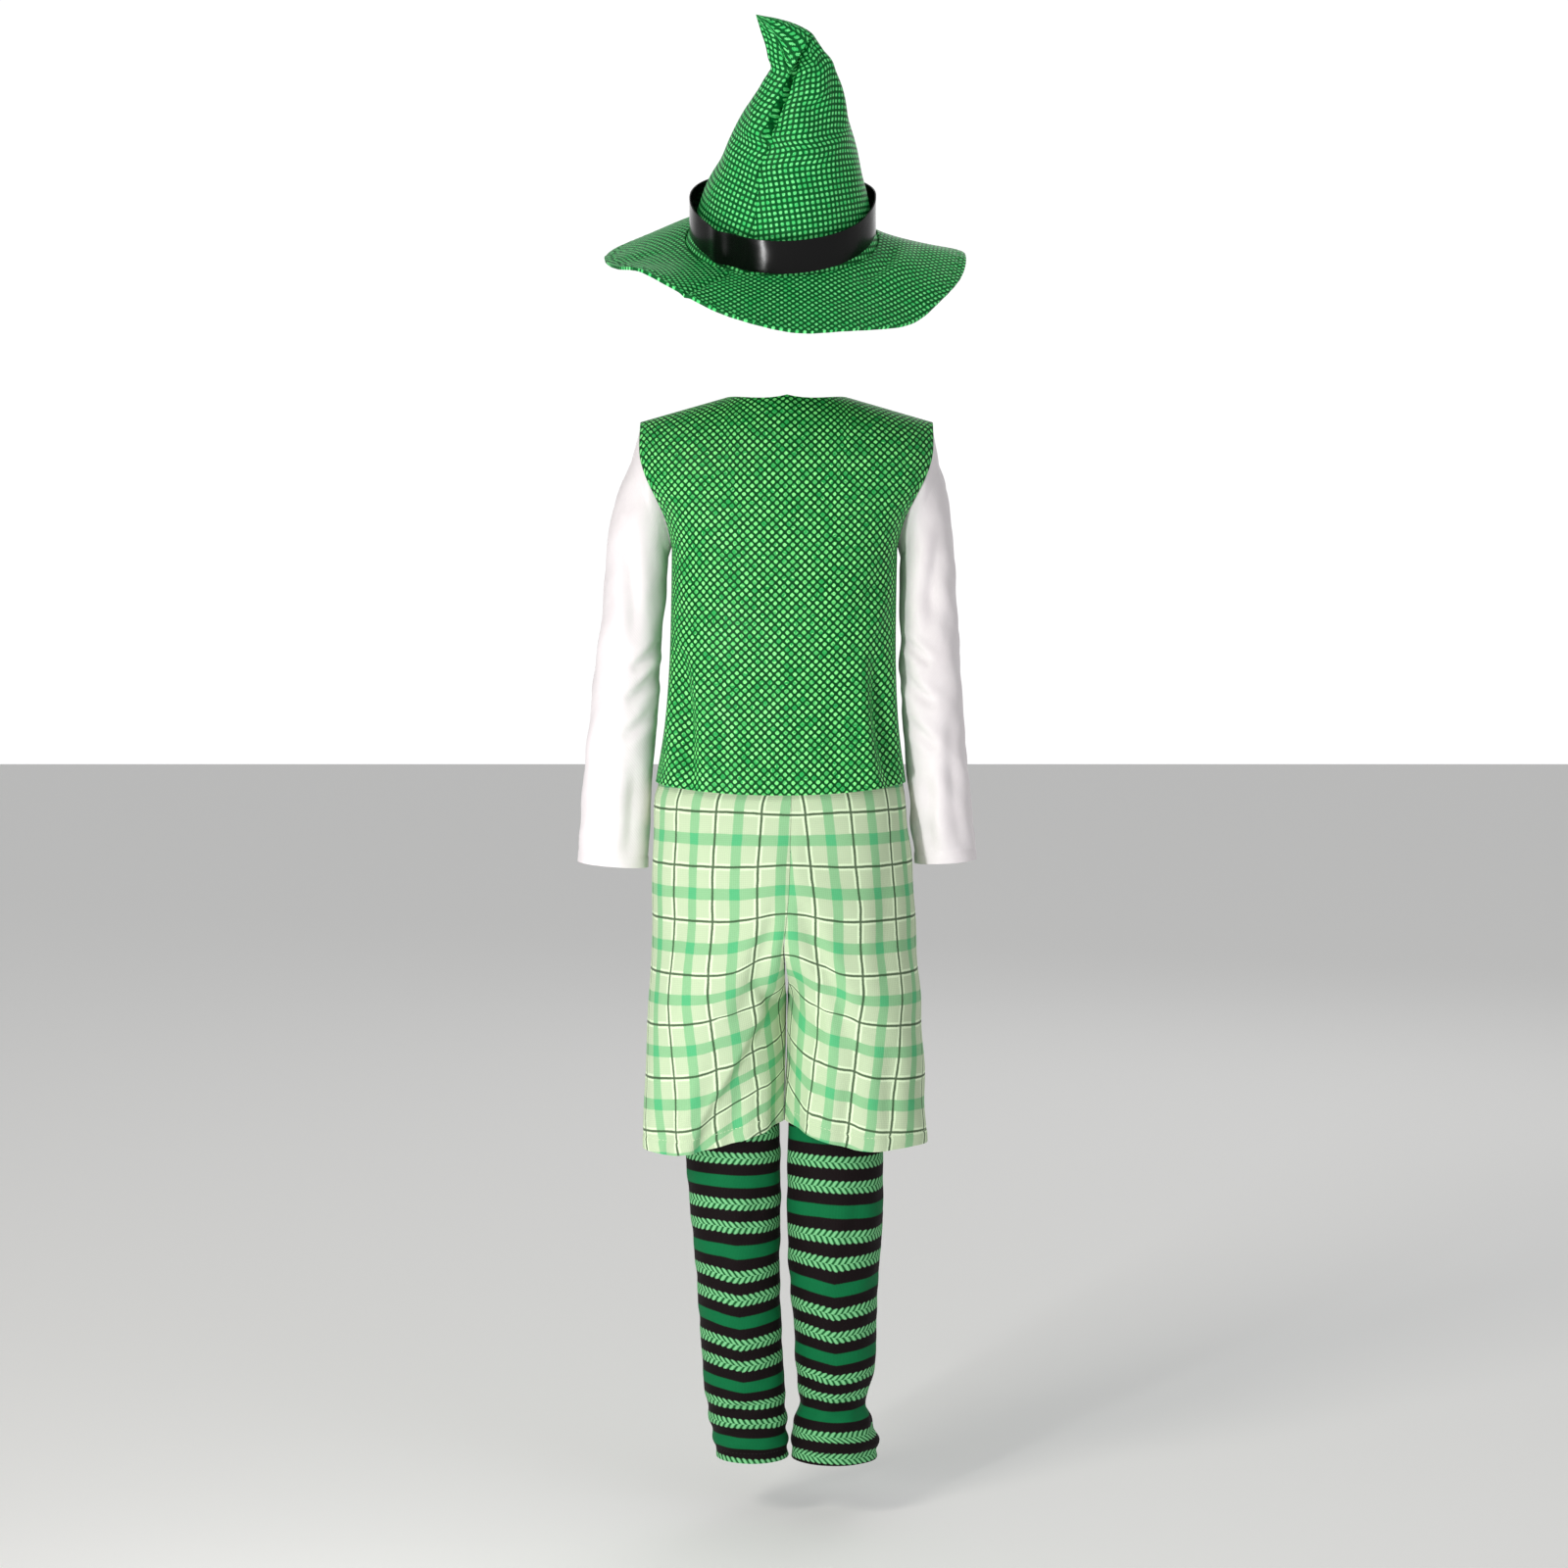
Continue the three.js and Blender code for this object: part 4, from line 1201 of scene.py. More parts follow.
@dataclass
class Vest:
    """Back and front of the top, in dot cloth on the bias, and the armhole edge that the sleeves follow."""

    chest_z: float = -144.0
    neck_side_z: float = 5.0
    shoulder_tip_z: float = -19.0
    shoulder_half_width: float = 143.6
    shoulder_roundness: float = 0.77
    squareness: float = 2.8
    hem_side_z: float = -372.0
    hem_dip: float = 9.0
    hem_shift: float = 6.3
    half_gap: float = 0.15
    wall: float = 1.6
    neck_share: float = math.sin(math.pi / 2 * 3 / 11)
    back_neck_depth: float = 50.0
    front_neck_depth: float = 76.0
    waves: Waves = Waves(31, 70.0, 0.7)
    hem: float = 14.0
    hem_wave: float = 1.5
    half_columns: int = 64
    yoke_rows: int = 60
    body_rows: int = 84
    yoke: Sections = Sections(
        ("down", "edge", "girth"),
        (
            (0, 143.6, 150.5), (0.25, 143.6, 150.5), (0.5, 143.4, 151), (0.6, 141, 149),
            (0.7, 135.5, 144), (0.8, 127, 133), (0.9, 117.5, 119.8), (1, 111, 111),
        ),
    )
    body: Sections = Sections(
        ("z", "half_width", "half_depth"),
        (
            (-144, 111, 88), (-200, 111, 86), (-260, 112, 84), (-320, 116, 86), (-384, 125.5, 91),
        ),
    )
    back_creases: tuple[Crease, ...] = each(
        Crease, ((106, -236), (96, -392), 9.5, 9, 3), ((-88, -240), (-106, -392), 9.5, 9, -4),
        ((60, -300), (66, -380), 1.6, 7, 3), ((-44, -290), (-52, -380), 1.8, 8, -3),
        ((8, -210), (14, -350), -1.4, 16, 6), ((-98, -150), (-60, -215), 1.8, 8, 5),
        ((98, -150), (56, -222), 1.8, 8, -5), ((-104, -196), (-78, -250), 1.2, 7, 3),
        ((104, -190), (82, -250), 1.2, 7, -3),
    )
    front_creases: tuple[Crease, ...] = each(
        Crease, ((98, -256), (90, -370), 2.8, 7, 3), ((-84, -262), (-96, -370), 2.8, 7, -3),
        ((40, -280), (50, -380), 1.6, 8, 3), ((-30, -300), (-40, -380), 1.6, 8, -3),
        ((-96, -150), (-56, -210), 1.8, 8, 5), ((96, -150), (60, -214), 1.8, 8, -5),
    )

    def shift(self, z: Grid) -> Grid:
        """Return how far the hips stand to the wearer's left of the shoulders."""
        return self.hem_shift * np.maximum(-z, 0.0) / (self.hem_dip - self.hem_side_z)

    def armhole_down(self, angle: Grid) -> Grid:
        """Return how far down the yoke the armhole's edge is, from shoulder tip (0) to side seam (180)."""
        height = (1.0 + np.cos(np.radians(angle))) / 2.0
        return np.arccos(np.clip(height, 0.0, 1.0) ** (1.0 / self.shoulder_roundness)) / (math.pi / 2)

    def surface(self, face: Face, share: Grid, down: Grid) -> Grid:
        """Return points of a panel.

        Args:
            face: the back or the front.
            share: place across, from -1 to 1.
            down: 0 at the shoulder seam, 1 at the bottom of the armhole and 2 at the hem.

        Returns:
            The points in mm, before any crease.
        """
        share, down = np.broadcast_arrays(np.asarray(share, float), np.asarray(down, float))
        spread = np.abs(share)
        square = self.squareness
        neck_depth = self.back_neck_depth if face is Face.BACK else self.front_neck_depth
        chest_depth = self.body.rows[0][2]
        above = np.minimum(down, 1.0)
        edge = self.yoke.read(above, "edge")
        girth = self.yoke.read(above, "girth")
        reach = np.minimum(spread * edge / girth, 1.0)
        round_yoke = np.maximum(1.0 - reach**square, 0.0) ** (1.0 / square)
        neck = np.minimum(spread / self.neck_share, 1.0)
        neck_reach = neck_depth * np.sqrt(np.maximum(1.0 - neck**2, 0.0))
        start = np.arcsin(np.minimum(neck_reach / chest_depth, 1.0) ** (1.0 / self.shoulder_roundness))
        turn = start + (math.pi / 2 - start) * above
        neck_half = self.neck_share * self.shoulder_half_width
        slope = (spread * self.shoulder_half_width - neck_half) / (self.shoulder_half_width - neck_half)
        top_z = self.neck_side_z + (self.shoulder_tip_z - self.neck_side_z) * slope
        rise = np.maximum(np.cos(turn), 0.0) ** self.shoulder_roundness
        yoke_z = self.chest_z + (top_z - self.chest_z) * rise
        yoke_y = chest_depth * np.sin(turn) ** self.shoulder_roundness * round_yoke
        hem_z = self.hem_side_z - self.hem_dip * (1.0 - spread**2)
        body_z = self.chest_z + (hem_z - self.chest_z) * np.maximum(down - 1.0, 0.0)
        round_body = np.maximum(1.0 - spread**square, 0.0) ** (1.0 / square)
        body_y = self.body.read(body_z, "half_depth") * round_body
        is_yoke = down <= 1.0
        z = np.where(is_yoke, yoke_z, body_z)
        y = face.value * (self.half_gap + np.where(is_yoke, yoke_y, body_y))
        x = self.shift(z) + share * np.where(is_yoke, edge, self.body.read(body_z, "half_width"))
        return np.stack([x, y, z], axis=-1)

    def build_panel(self, face: Face) -> Cloth:
        """Make the back or the front, folded a little at the hem and below the armholes.

        Args:
            face: the back or the front.

        Returns:
            The cloth, ready to build.
        """
        yoke = self.armhole_down(np.linspace(0.0, 180.0, self.yoke_rows + 1)[:-1])
        down = np.concatenate([yoke, np.linspace(1.0, 2.0, self.body_rows + 1)])[:, None]
        column = np.arange(-self.half_columns, self.half_columns + 1)[None, :]
        share = np.sin(math.pi / 2 * column / self.half_columns)
        base = self.surface(face, share, down)
        away = base.copy()
        away[..., 2] = np.maximum(base[..., 2] - self.chest_z, 0.0)
        normals = outward_normals(base, False, away)
        creases = self.back_creases if face is Face.BACK else self.front_creases
        depth = total_depth(creases, base[..., 0], base[..., 2])
        depth = depth + self.waves.at(base[..., 0], base[..., 2], face.value)
        x = base[..., 0]
        hem = smooth_step(down, 1.90, 2.0) * self.hem_wave * np.sin(x / 13.0) * np.sin(x / 37.0 + 1.0)
        seam_fade = smooth_step(1.0 - np.abs(share), 0.0, 0.05)
        top_fade = smooth_step(down, 0.0, 0.2)
        outer = base - normals * ((depth - hem) * seam_fade * top_fade)[..., None]
        cut = np.stack([row_lengths(outer, self.half_columns), from_last_row(outer)], axis=2)

        def limit(inner: Grid) -> Grid:
            """Keep the inner points behind the middle plane.

            Args:
                inner: the inner points.

            Returns:
                The points kept on their own side.
            """
            inner = inner.copy()
            inner[..., 1] = face.value * np.maximum(face.value * inner[..., 1], self.half_gap)
            return inner

        return Cloth(face.node + "_cloth", outer, cut, self.wall, away=away, limit=limit)


@dataclass
class Sleeve:
    """A long sleeve, sewn inside the armhole and hemmed at the cuff."""

    side: Side
    vest: Vest
    sections: Sections
    back_creases: tuple[Crease, ...]
    front_creases: tuple[Crease, ...]
    columns: int = 108
    steps_over: int = 6
    row_step: float = 0.07
    wall: float = 1.2
    seam_pull: float = 3.0
    clearance: float = 0.7
    waves: Waves = Waves(41, 48.0, 0.8)
    inset: float = 9.0
    armhole_centre: Pair = (127.0, -82.0)
    hem: float = 12.0

    def armhole_edge(self, angle: Grid) -> Grid:
        """Return the armhole's edge: 0 is the shoulder tip, and 180, past the back, the side seam.

        Args:
            angle: angles in degrees.

        Returns:
            The points in mm.
        """
        down = self.vest.armhole_down(angle)
        share = float(self.side.value)
        back = self.vest.surface(Face.BACK, share, down)
        front = self.vest.surface(Face.FRONT, share, down)
        return np.where((np.mod(angle, 360.0) <= 180.0)[..., None], back, front)

    def pulled_in(self, angle: Grid, pull: float, inset: float) -> Grid:
        """Return the armhole's edge drawn towards its centre and moved into the vest.

        Args:
            angle: angles in degrees.
            pull: how far towards the centre, in mm.
            inset: how far into the vest, in mm.

        Returns:
            The points in mm.
        """
        edge = self.armhole_edge(angle)
        centre = np.array([self.side.value * self.armhole_centre[0], 0.0, self.armhole_centre[1]])
        toward = centre - edge
        edge = edge + toward / np.linalg.norm(toward, axis=-1, keepdims=True) * pull
        edge[..., 0] -= self.side.value * inset
        return edge

    def section(self, place: Grid, angle: Grid) -> Grid:
        """Return points of the sleeve's tube at a place down the arm, counted in sections.

        Args:
            place: the place down the arm.
            angle: angles round the arm in degrees.

        Returns:
            The points in mm.
        """
        read = self.sections.read
        along = (1.0 + np.cos(np.radians(angle))) / 2.0
        x = read(place, "in_x") + (read(place, "out_x") - read(place, "in_x")) * along
        z = read(place, "in_z") + (read(place, "out_z") - read(place, "in_z")) * along
        y = read(place, "back") + read(place, "half_depth") * np.sin(np.radians(angle))
        x, y, z = np.broadcast_arrays(self.side.value * x, y, z)
        return np.stack([x, y, z], axis=-1)

    def build(self) -> Cloth:
        """Make the sleeve with its creases and a turned hem.

        Returns:
            The cloth, ready to build.
        """
        angle = 360.0 * np.arange(self.columns)[None, :] / self.columns
        last = self.sections.rows[-1][0]
        fan_place = np.append(np.arange(0.0, last, self.row_step), last)[:, None]
        fan = self.section(fan_place, angle)
        sewn = self.pulled_in(angle, self.vest.wall + self.seam_pull, self.inset)
        edge = self.pulled_in(angle, self.vest.wall + self.clearance, 0.0)
        share = (np.arange(self.steps_over) / self.steps_over)[:, None, None]
        over = edge + (fan[:1] - edge) * share
        middle = (sewn + edge) / 2.0
        base = np.concatenate([sewn, middle, over, fan])
        normals = outward_normals(base, True)
        x, z = self.side.value * base[..., 0], base[..., 2]
        back_share = smooth_step(np.sin(np.radians(angle)), -0.25, 0.25)
        depth = total_depth(self.back_creases, x, z) * back_share
        depth = depth + total_depth(self.front_creases, x, z) * (1.0 - back_share)
        depth = depth + self.waves.at(angle * 0.8, z, self.side.value)
        from_cuff = from_last_row(base)
        at_cuff = 0.35 + 0.65 * smooth_step(from_cuff, 0.0, 30.0)
        fade = smooth_step(column_lengths(base), 16.0, 46.0) * at_cuff
        hem = 0.45 * smooth_step(-from_cuff, -self.hem - 0.6, -self.hem + 0.6)
        groove = 0.5 * bell(from_cuff - self.hem, 1.4)
        outer = base - normals * (depth * fade - hem + groove)[..., None]
        cut = np.stack([row_lengths(wrap(outer), 0), wrap(from_cuff)], axis=2)
        return Cloth(self.side.node("sleeve") + "_cloth", outer, cut, self.wall, closed=True)


SLEEVE_COLUMN_NAMES = ("place", "out_x", "out_z", "in_x", "in_z", "half_depth", "back")
SLEEVE_SECTIONS = {
    Side.LEFT: Sections(
        SLEEVE_COLUMN_NAMES,
        (
            (0, 153, -58, 117, -152, 38, 0), (1, 165, -84, 117.5, -165, 38, 1),
            (2, 174.5, -122, 119.5, -188, 36.5, 3), (3, 179, -172, 122, -218, 35, 5),
            (4, 184, -222, 124.5, -248, 34, 7), (5, 190.5, -272, 126.5, -286, 34, 7),
            (6, 196, -320, 129.5, -328, 34.5, 4), (7, 201, -368, 134, -374, 35, -2),
            (8, 205.5, -416, 137, -420, 36, -11), (9, 208.8, -454, 138.7, -460, 36.5, -19),
        ),
    ),
    Side.RIGHT: Sections(
        SLEEVE_COLUMN_NAMES,
        (
            (0, 150, -62, 112, -152, 37, 0), (1, 158, -92, 111.2, -165, 36, 1),
            (2, 163.5, -140, 111, -190, 34, 3), (3, 167, -188, 111, -222, 32, 5),
            (4, 170, -235, 111.4, -252, 31, 7), (5, 173.5, -288, 113, -298, 31, 7),
            (6, 176.5, -338, 116.8, -344, 31, 4), (7, 181, -384, 121.5, -388, 31.5, -3),
            (8, 186, -424, 125, -428, 32, -12), (9, 189, -452, 128, -456, 32.5, -19),
        ),
    ),
}

SLEEVE_BACK = {
    Side.LEFT: each(
        Crease, ((122, -232), (152, -262), 4.6, 5, 2), ((122, -258), (158, -292), 4.6, 5.5, 3),
        ((126, -296), (162, -328), 4, 5.5, 3), ((162, -110), (150, -236), 3.2, 8, 4),
        ((180, -290), (190, -440), 3, 8, 4), ((150, -350), (160, -458), 2.8, 7, 3),
    ),
    Side.RIGHT: each(
        Crease, ((112, -228), (142, -256), 4.2, 5, 2), ((112, -264), (146, -296), 4.2, 5.5, 3),
        ((116, -306), (150, -338), 3.6, 5.5, 3), ((152, -120), (140, -234), 3, 8, 4),
        ((162, -300), (174, -440), 2.8, 8, 4), ((138, -360), (146, -456), 2.6, 7, 3),
    ),
}
SLEEVE_FRONT = each(
    Crease, ((130, -250), (158, -276), 2.4, 5.5, 3), ((126, -286), (160, -306), 2.4, 5.5, 3),
    ((150, -120), (146, -230), 1.8, 8, 4), ((158, -320), (166, -440), 1.6, 9, 4),
)


# Trousers


@dataclass(frozen=True)
class LegShape:
    """What differs between the two plaid legs: the lift of the hem, the fold, the grain and the creases."""

    lift_height: float
    lift_from: float
    fold_depth: float
    back_seam_line: float
    fold_line: Sections
    grain: Sections
    creases: tuple[Crease, ...]


LEG_SHAPES = {
    Side.LEFT: LegShape(
        3.0, 0.85, 11.0, 31.0,
        Sections(("z", "x"), ((-560, 0), (-604, 24), (-648, 46), (-696, 73), (-745, 92))),
        Sections(("z", "shift"), ((-350, -1), (-484, 2.5), (-634, 7), (-700, 12), (-739, 18))),
        each(
            Crease, ((6, -470), (52, -610), 4.2, 9, 6), ((30, -560), (10, -606), 3.6, 7, 2),
            ((104, -400), (112, -560), 2.4, 12, 4), ((84, -628), (112, -760), -3, 9, 3),
            ((44, -656), (58, -760), 2.8, 8, 2), ((20, -650), (22, -760), -2.6, 7, 2),
            ((118, -610), (124, -760), 2.2, 9, 3),
        ),
    ),
    Side.RIGHT: LegShape(
        9.0, 0.46, 8.0, 20.0,
        Sections(("z", "x"), ((-560, 0), (-609, 24), (-648, 22), (-680, 22), (-745, 14))),
        Sections(("z", "shift"), ((-350, 0), (-484, 4), (-560, 7), (-634, 11), (-700, 17), (-739, 22))),
        each(
            Crease, ((8, -480), (64, -640), 4.2, 9, -6), ((30, -570), (36, -706), 3.6, 8, 4),
            ((98, -420), (106, -600), 2.4, 12, 4), ((72, -620), (58, -760), 3.4, 9, 3),
            ((104, -620), (108, -760), 3, 9, 3),
        ),
    ),
}


@dataclass
class Shorts:
    """Plaid legs of the trousers, each one panel from the back seam round the outside to the front seam."""

    columns: int = 150
    rows: int = 140
    squareness: float = 0.87
    wall: float = 1.8
    half_gap: float = 0.15
    hem: float = 13.0
    top_z: float = -350.0
    bottom_z: float = -739.0
    sections: Sections = Sections(
        ("z", "rise", "lift", "seam_x", "left_x", "right_x", "split", "half_depth"),
        (
            (-350, 0, 0, -4, 119, 107, 0, 78), (-376, 0, 0, -4, 127.3, 114.8, 0, 83.5),
            (-390, 0, 0, -4, 131.2, 117, 0, 86), (-430, 0, 0, -3.2, 132, 120.5, 0, 90),
            (-470, 0, 0, -2, 132.6, 123.8, 0, 93), (-505, 2, 0, 0.5, 133, 126.5, 0.12, 93),
            (-535, 6, 0, 3, 134.5, 128.5, 0.42, 90), (-560, 11, 0, 2, 135.8, 130, 0.72, 86),
            (-582, 16, 0, 0.5, 136.8, 131.4, 0.93, 82), (-604, 20, 0, 0, 137.8, 132.8, 1, 78),
            (-632, 22, 0, 0, 139, 134.8, 1, 74), (-660, 24, 0.2, 0.5, 140.4, 136.4, 1, 71),
            (-688, 26, 0.5, 1.5, 141.8, 137.6, 1, 69), (-714, 28, 0.8, 2.5, 142.9, 138.8, 1, 67.5),
            (-739, 30, 1, 3, 143.4, 139.4, 1, 66.5),
        ),
    )
    fold_blend: float = 10.0
    fold_start_z: float = -560.0
    fold_full_z: float = -620.0
    fold_limit: float = 0.3
    seam_pull: Sections = Sections(
        ("z", "rise"), ((-350, -3), (-400, -2), (-450, 3), (-500, 10), (-545, 22), (-580, 14), (-620, 0))
    )
    seam_pull_reach: float = 34.0
    first_line_z: float = -399.0
    inner_rise: float = 0.45
    hip_z: float = -430.0
    waves: Waves = Waves(61, 85.0, 0.9)
    front_shift: Pair = (8.0, 18.0)
    below_waist: Pair = (395.0, 440.0)
    fold_rise: Pair = (600.0, 680.0)
    hem_wave: float = 1.6
    seam_groove: float = 1.7

    def section_point(self, side: Side, z: Grid, share: Grid) -> Grid:
        """Return points of a leg at section heights.

        Args:
            side: the leg.
            z: the heights of the sections.
            share: 0 at the back seam and 1 at the front.

        Returns:
            The points in mm.
        """
        read = self.sections.read
        leg = LEG_SHAPES[side]
        z, share = np.broadcast_arrays(np.asarray(z, float), np.asarray(share, float))
        seam_x = read(z, "seam_x")
        width = read(z, "left_x") - seam_x if side is Side.LEFT else read(z, "right_x") + seam_x
        middle = np.clip(read(z, "split"), 0.0, 1.0) * width / 2.0
        half_width = width - middle
        end = np.arccos(np.clip(-((middle / half_width) ** (1.0 / self.squareness)), -1.0, 1.0))
        turn = end - 2.0 * end * share
        x = np.maximum(middle + half_width * signed_power(np.cos(turn), self.squareness), 0.0)
        outside = leg.lift_height * smooth_step(x / width, leg.lift_from, 1.0)
        height = z + read(z, "rise") * (1.0 - x / width) ** 2 + read(z, "lift") * outside
        depth = read(z, "half_depth") * signed_power(np.sin(turn), self.squareness)
        inside = (leg.fold_line.read(height, "x") - x) / self.fold_blend
        fade = smooth_step(-height, -self.fold_start_z, -self.fold_full_z)
        fold = leg.fold_depth * fade * smooth_step(inside, -0.5, 0.5)
        fold = np.where(depth > 0.0, np.minimum(fold, np.abs(depth) * self.fold_limit), 0.0)
        y = depth - fold + np.sign(0.5 - share) * self.half_gap
        return np.stack([seam_x + side.value * (x + self.half_gap), y, height], axis=-1)

    def build_leg(self, side: Side) -> Cloth:
        """Make one leg with its folds, its hem and its cut along the grain.

        Args:
            side: the leg.

        Returns:
            The cloth, ready to build.
        """
        rows = np.linspace(self.top_z, self.bottom_z, self.rows)[:, None]
        share = (np.arange(self.columns + 1) / self.columns)[None, :]
        base = self.section_point(side, rows, share)
        seam_x = self.sections.read(rows, "seam_x")
        normals = outward_normals(base, False)
        x = side.value * (base[..., 0] - seam_x)
        z = base[..., 2]
        back = smooth_step(base[..., 1], -12.0, 12.0)
        creases = LEG_SHAPES[side].creases
        to_side, to_top = self.front_shift
        front = total_depth(creases, x - to_side, z + to_top)
        depth = total_depth(creases, x, z) * back + front * (1.0 - back)
        depth = depth + self.waves.at(share * 420.0, z, side.value)
        below = smooth_step(-z, *self.below_waist)
        edge = smooth_step(np.minimum(share, 1.0 - share), 0.0, 0.03)
        from_hem = from_last_row(base)
        hem_wave = self.hem_wave * np.sin(share * 47.0) * smooth_step(-from_hem, -60.0, 0.0)
        hem = 0.55 * smooth_step(-from_hem, -self.hem - 0.6, -self.hem + 0.6)
        groove = 0.5 * bell(from_hem - self.hem, 1.6)
        seam = self.seam_groove * bell(np.minimum(share, 1.0 - share) * self.columns, 1.1)
        moved = (depth - hem_wave) * edge * below - hem * edge + groove + seam * below
        outer = base - normals * moved[..., None]

        def limit(inner: Grid) -> Grid:
            """Keep points on the leg's own side of both seams.

            Args:
                inner: the inner points.

            Returns:
                The points kept on their own side of the seams.
            """
            inner = inner.copy()
            off = side.value * (inner[..., 0] - seam_x)
            inner[..., 0] = seam_x + side.value * np.maximum(off, self.half_gap)
            half = np.sign(0.5 - share)
            kept = half * np.maximum(half * inner[..., 1], self.half_gap)
            inner[..., 1] = np.where(half == 0.0, inner[..., 1], kept)
            return inner

        outer = limit(outer)
        name = side.node("shorts") + "_cloth"
        return Cloth(name, outer, self.cut(side, outer, rows, share), self.wall, limit=limit)

    def cut(self, side: Side, outer: Grid, rows: Grid, share: Grid) -> Grid:
        """Return each point's place on the flat cloth, with the plaid's lines at zero.

        Args:
            side: the leg.
            outer: the leg's outer points.
            rows: the height of each row's section.
            share: the place of each column.

        Returns:
            The cut in mm: across from the first line at the back seam, and up from the first line down.
        """
        leg = LEG_SHAPES[side]
        across = -row_lengths(outer, self.columns // 2)
        hip_row = int(np.argmin(np.abs(rows[:, 0] - self.hip_z)))
        across = across[hip_row, 0] - across
        across = across - leg.back_seam_line + leg.grain.read(rows, "shift")
        up = -(column_lengths(outer) + self.first_line_z - self.top_z)
        x = side.value * (outer[..., 0] - self.sections.read(rows, "seam_x"))
        inside = np.maximum(leg.fold_line.read(outer[..., 2], "x") - x, 0.0)
        on_back = smooth_step(0.5 - share, 0.0, 0.1)
        up = up - self.inner_rise * inside * on_back * smooth_step(-outer[..., 2], *self.fold_rise)
        pull = bell(x, self.seam_pull_reach) * on_back
        up = up - self.seam_pull.read(outer[..., 2], "rise") * pull
        return np.stack([across, up], axis=2)


@dataclass
class Waistband:
    """Plain gathered elastic waist, hidden under the top."""

    top_z: float = -318.0
    bottom_z: float = -349.7
    middle_x: float = 6.0
    half_width: float = 113.35
    half_depth: float = 78.0
    squareness: float = 0.87
    wall: float = 3.0
    columns: int = 320
    rows: int = 13
    gathers: int = 70
    gather: float = 0.7
    fullness: float = 1.5

    def build(self) -> Cloth:
        """Make the waistband, gathered in small upright folds between its two edges.

        Returns:
            The cloth, ready to build.
        """
        turn = 2.0 * math.pi * np.arange(self.columns)[None, :] / self.columns
        z = np.linspace(self.top_z, self.bottom_z, self.rows)[:, None]
        x = self.middle_x + self.half_width * signed_power(np.cos(turn), self.squareness)
        y = self.half_depth * signed_power(np.sin(turn), self.squareness)
        x, y, z = np.broadcast_arrays(x, y, z)
        outer = np.stack([x, y, z], axis=-1)
        share = (self.top_z - z) / (self.top_z - self.bottom_z)
        gather = self.gather * (np.sin(turn * self.gathers + 2.0 * np.sin(turn * 5.0)) - 1.0)
        gather = gather * np.sin(math.pi * share) ** 0.5
        outer = outer + outward_normals(outer, True) * gather[..., None]
        around = row_lengths(wrap(outer), 0) * self.fullness
        up = -share[:, :1] * (self.top_z - self.bottom_z)
        cut = np.stack([around, np.broadcast_to(up, around.shape)], axis=2)
        return Cloth("waistband_cloth", outer, cut, self.wall, closed=True)


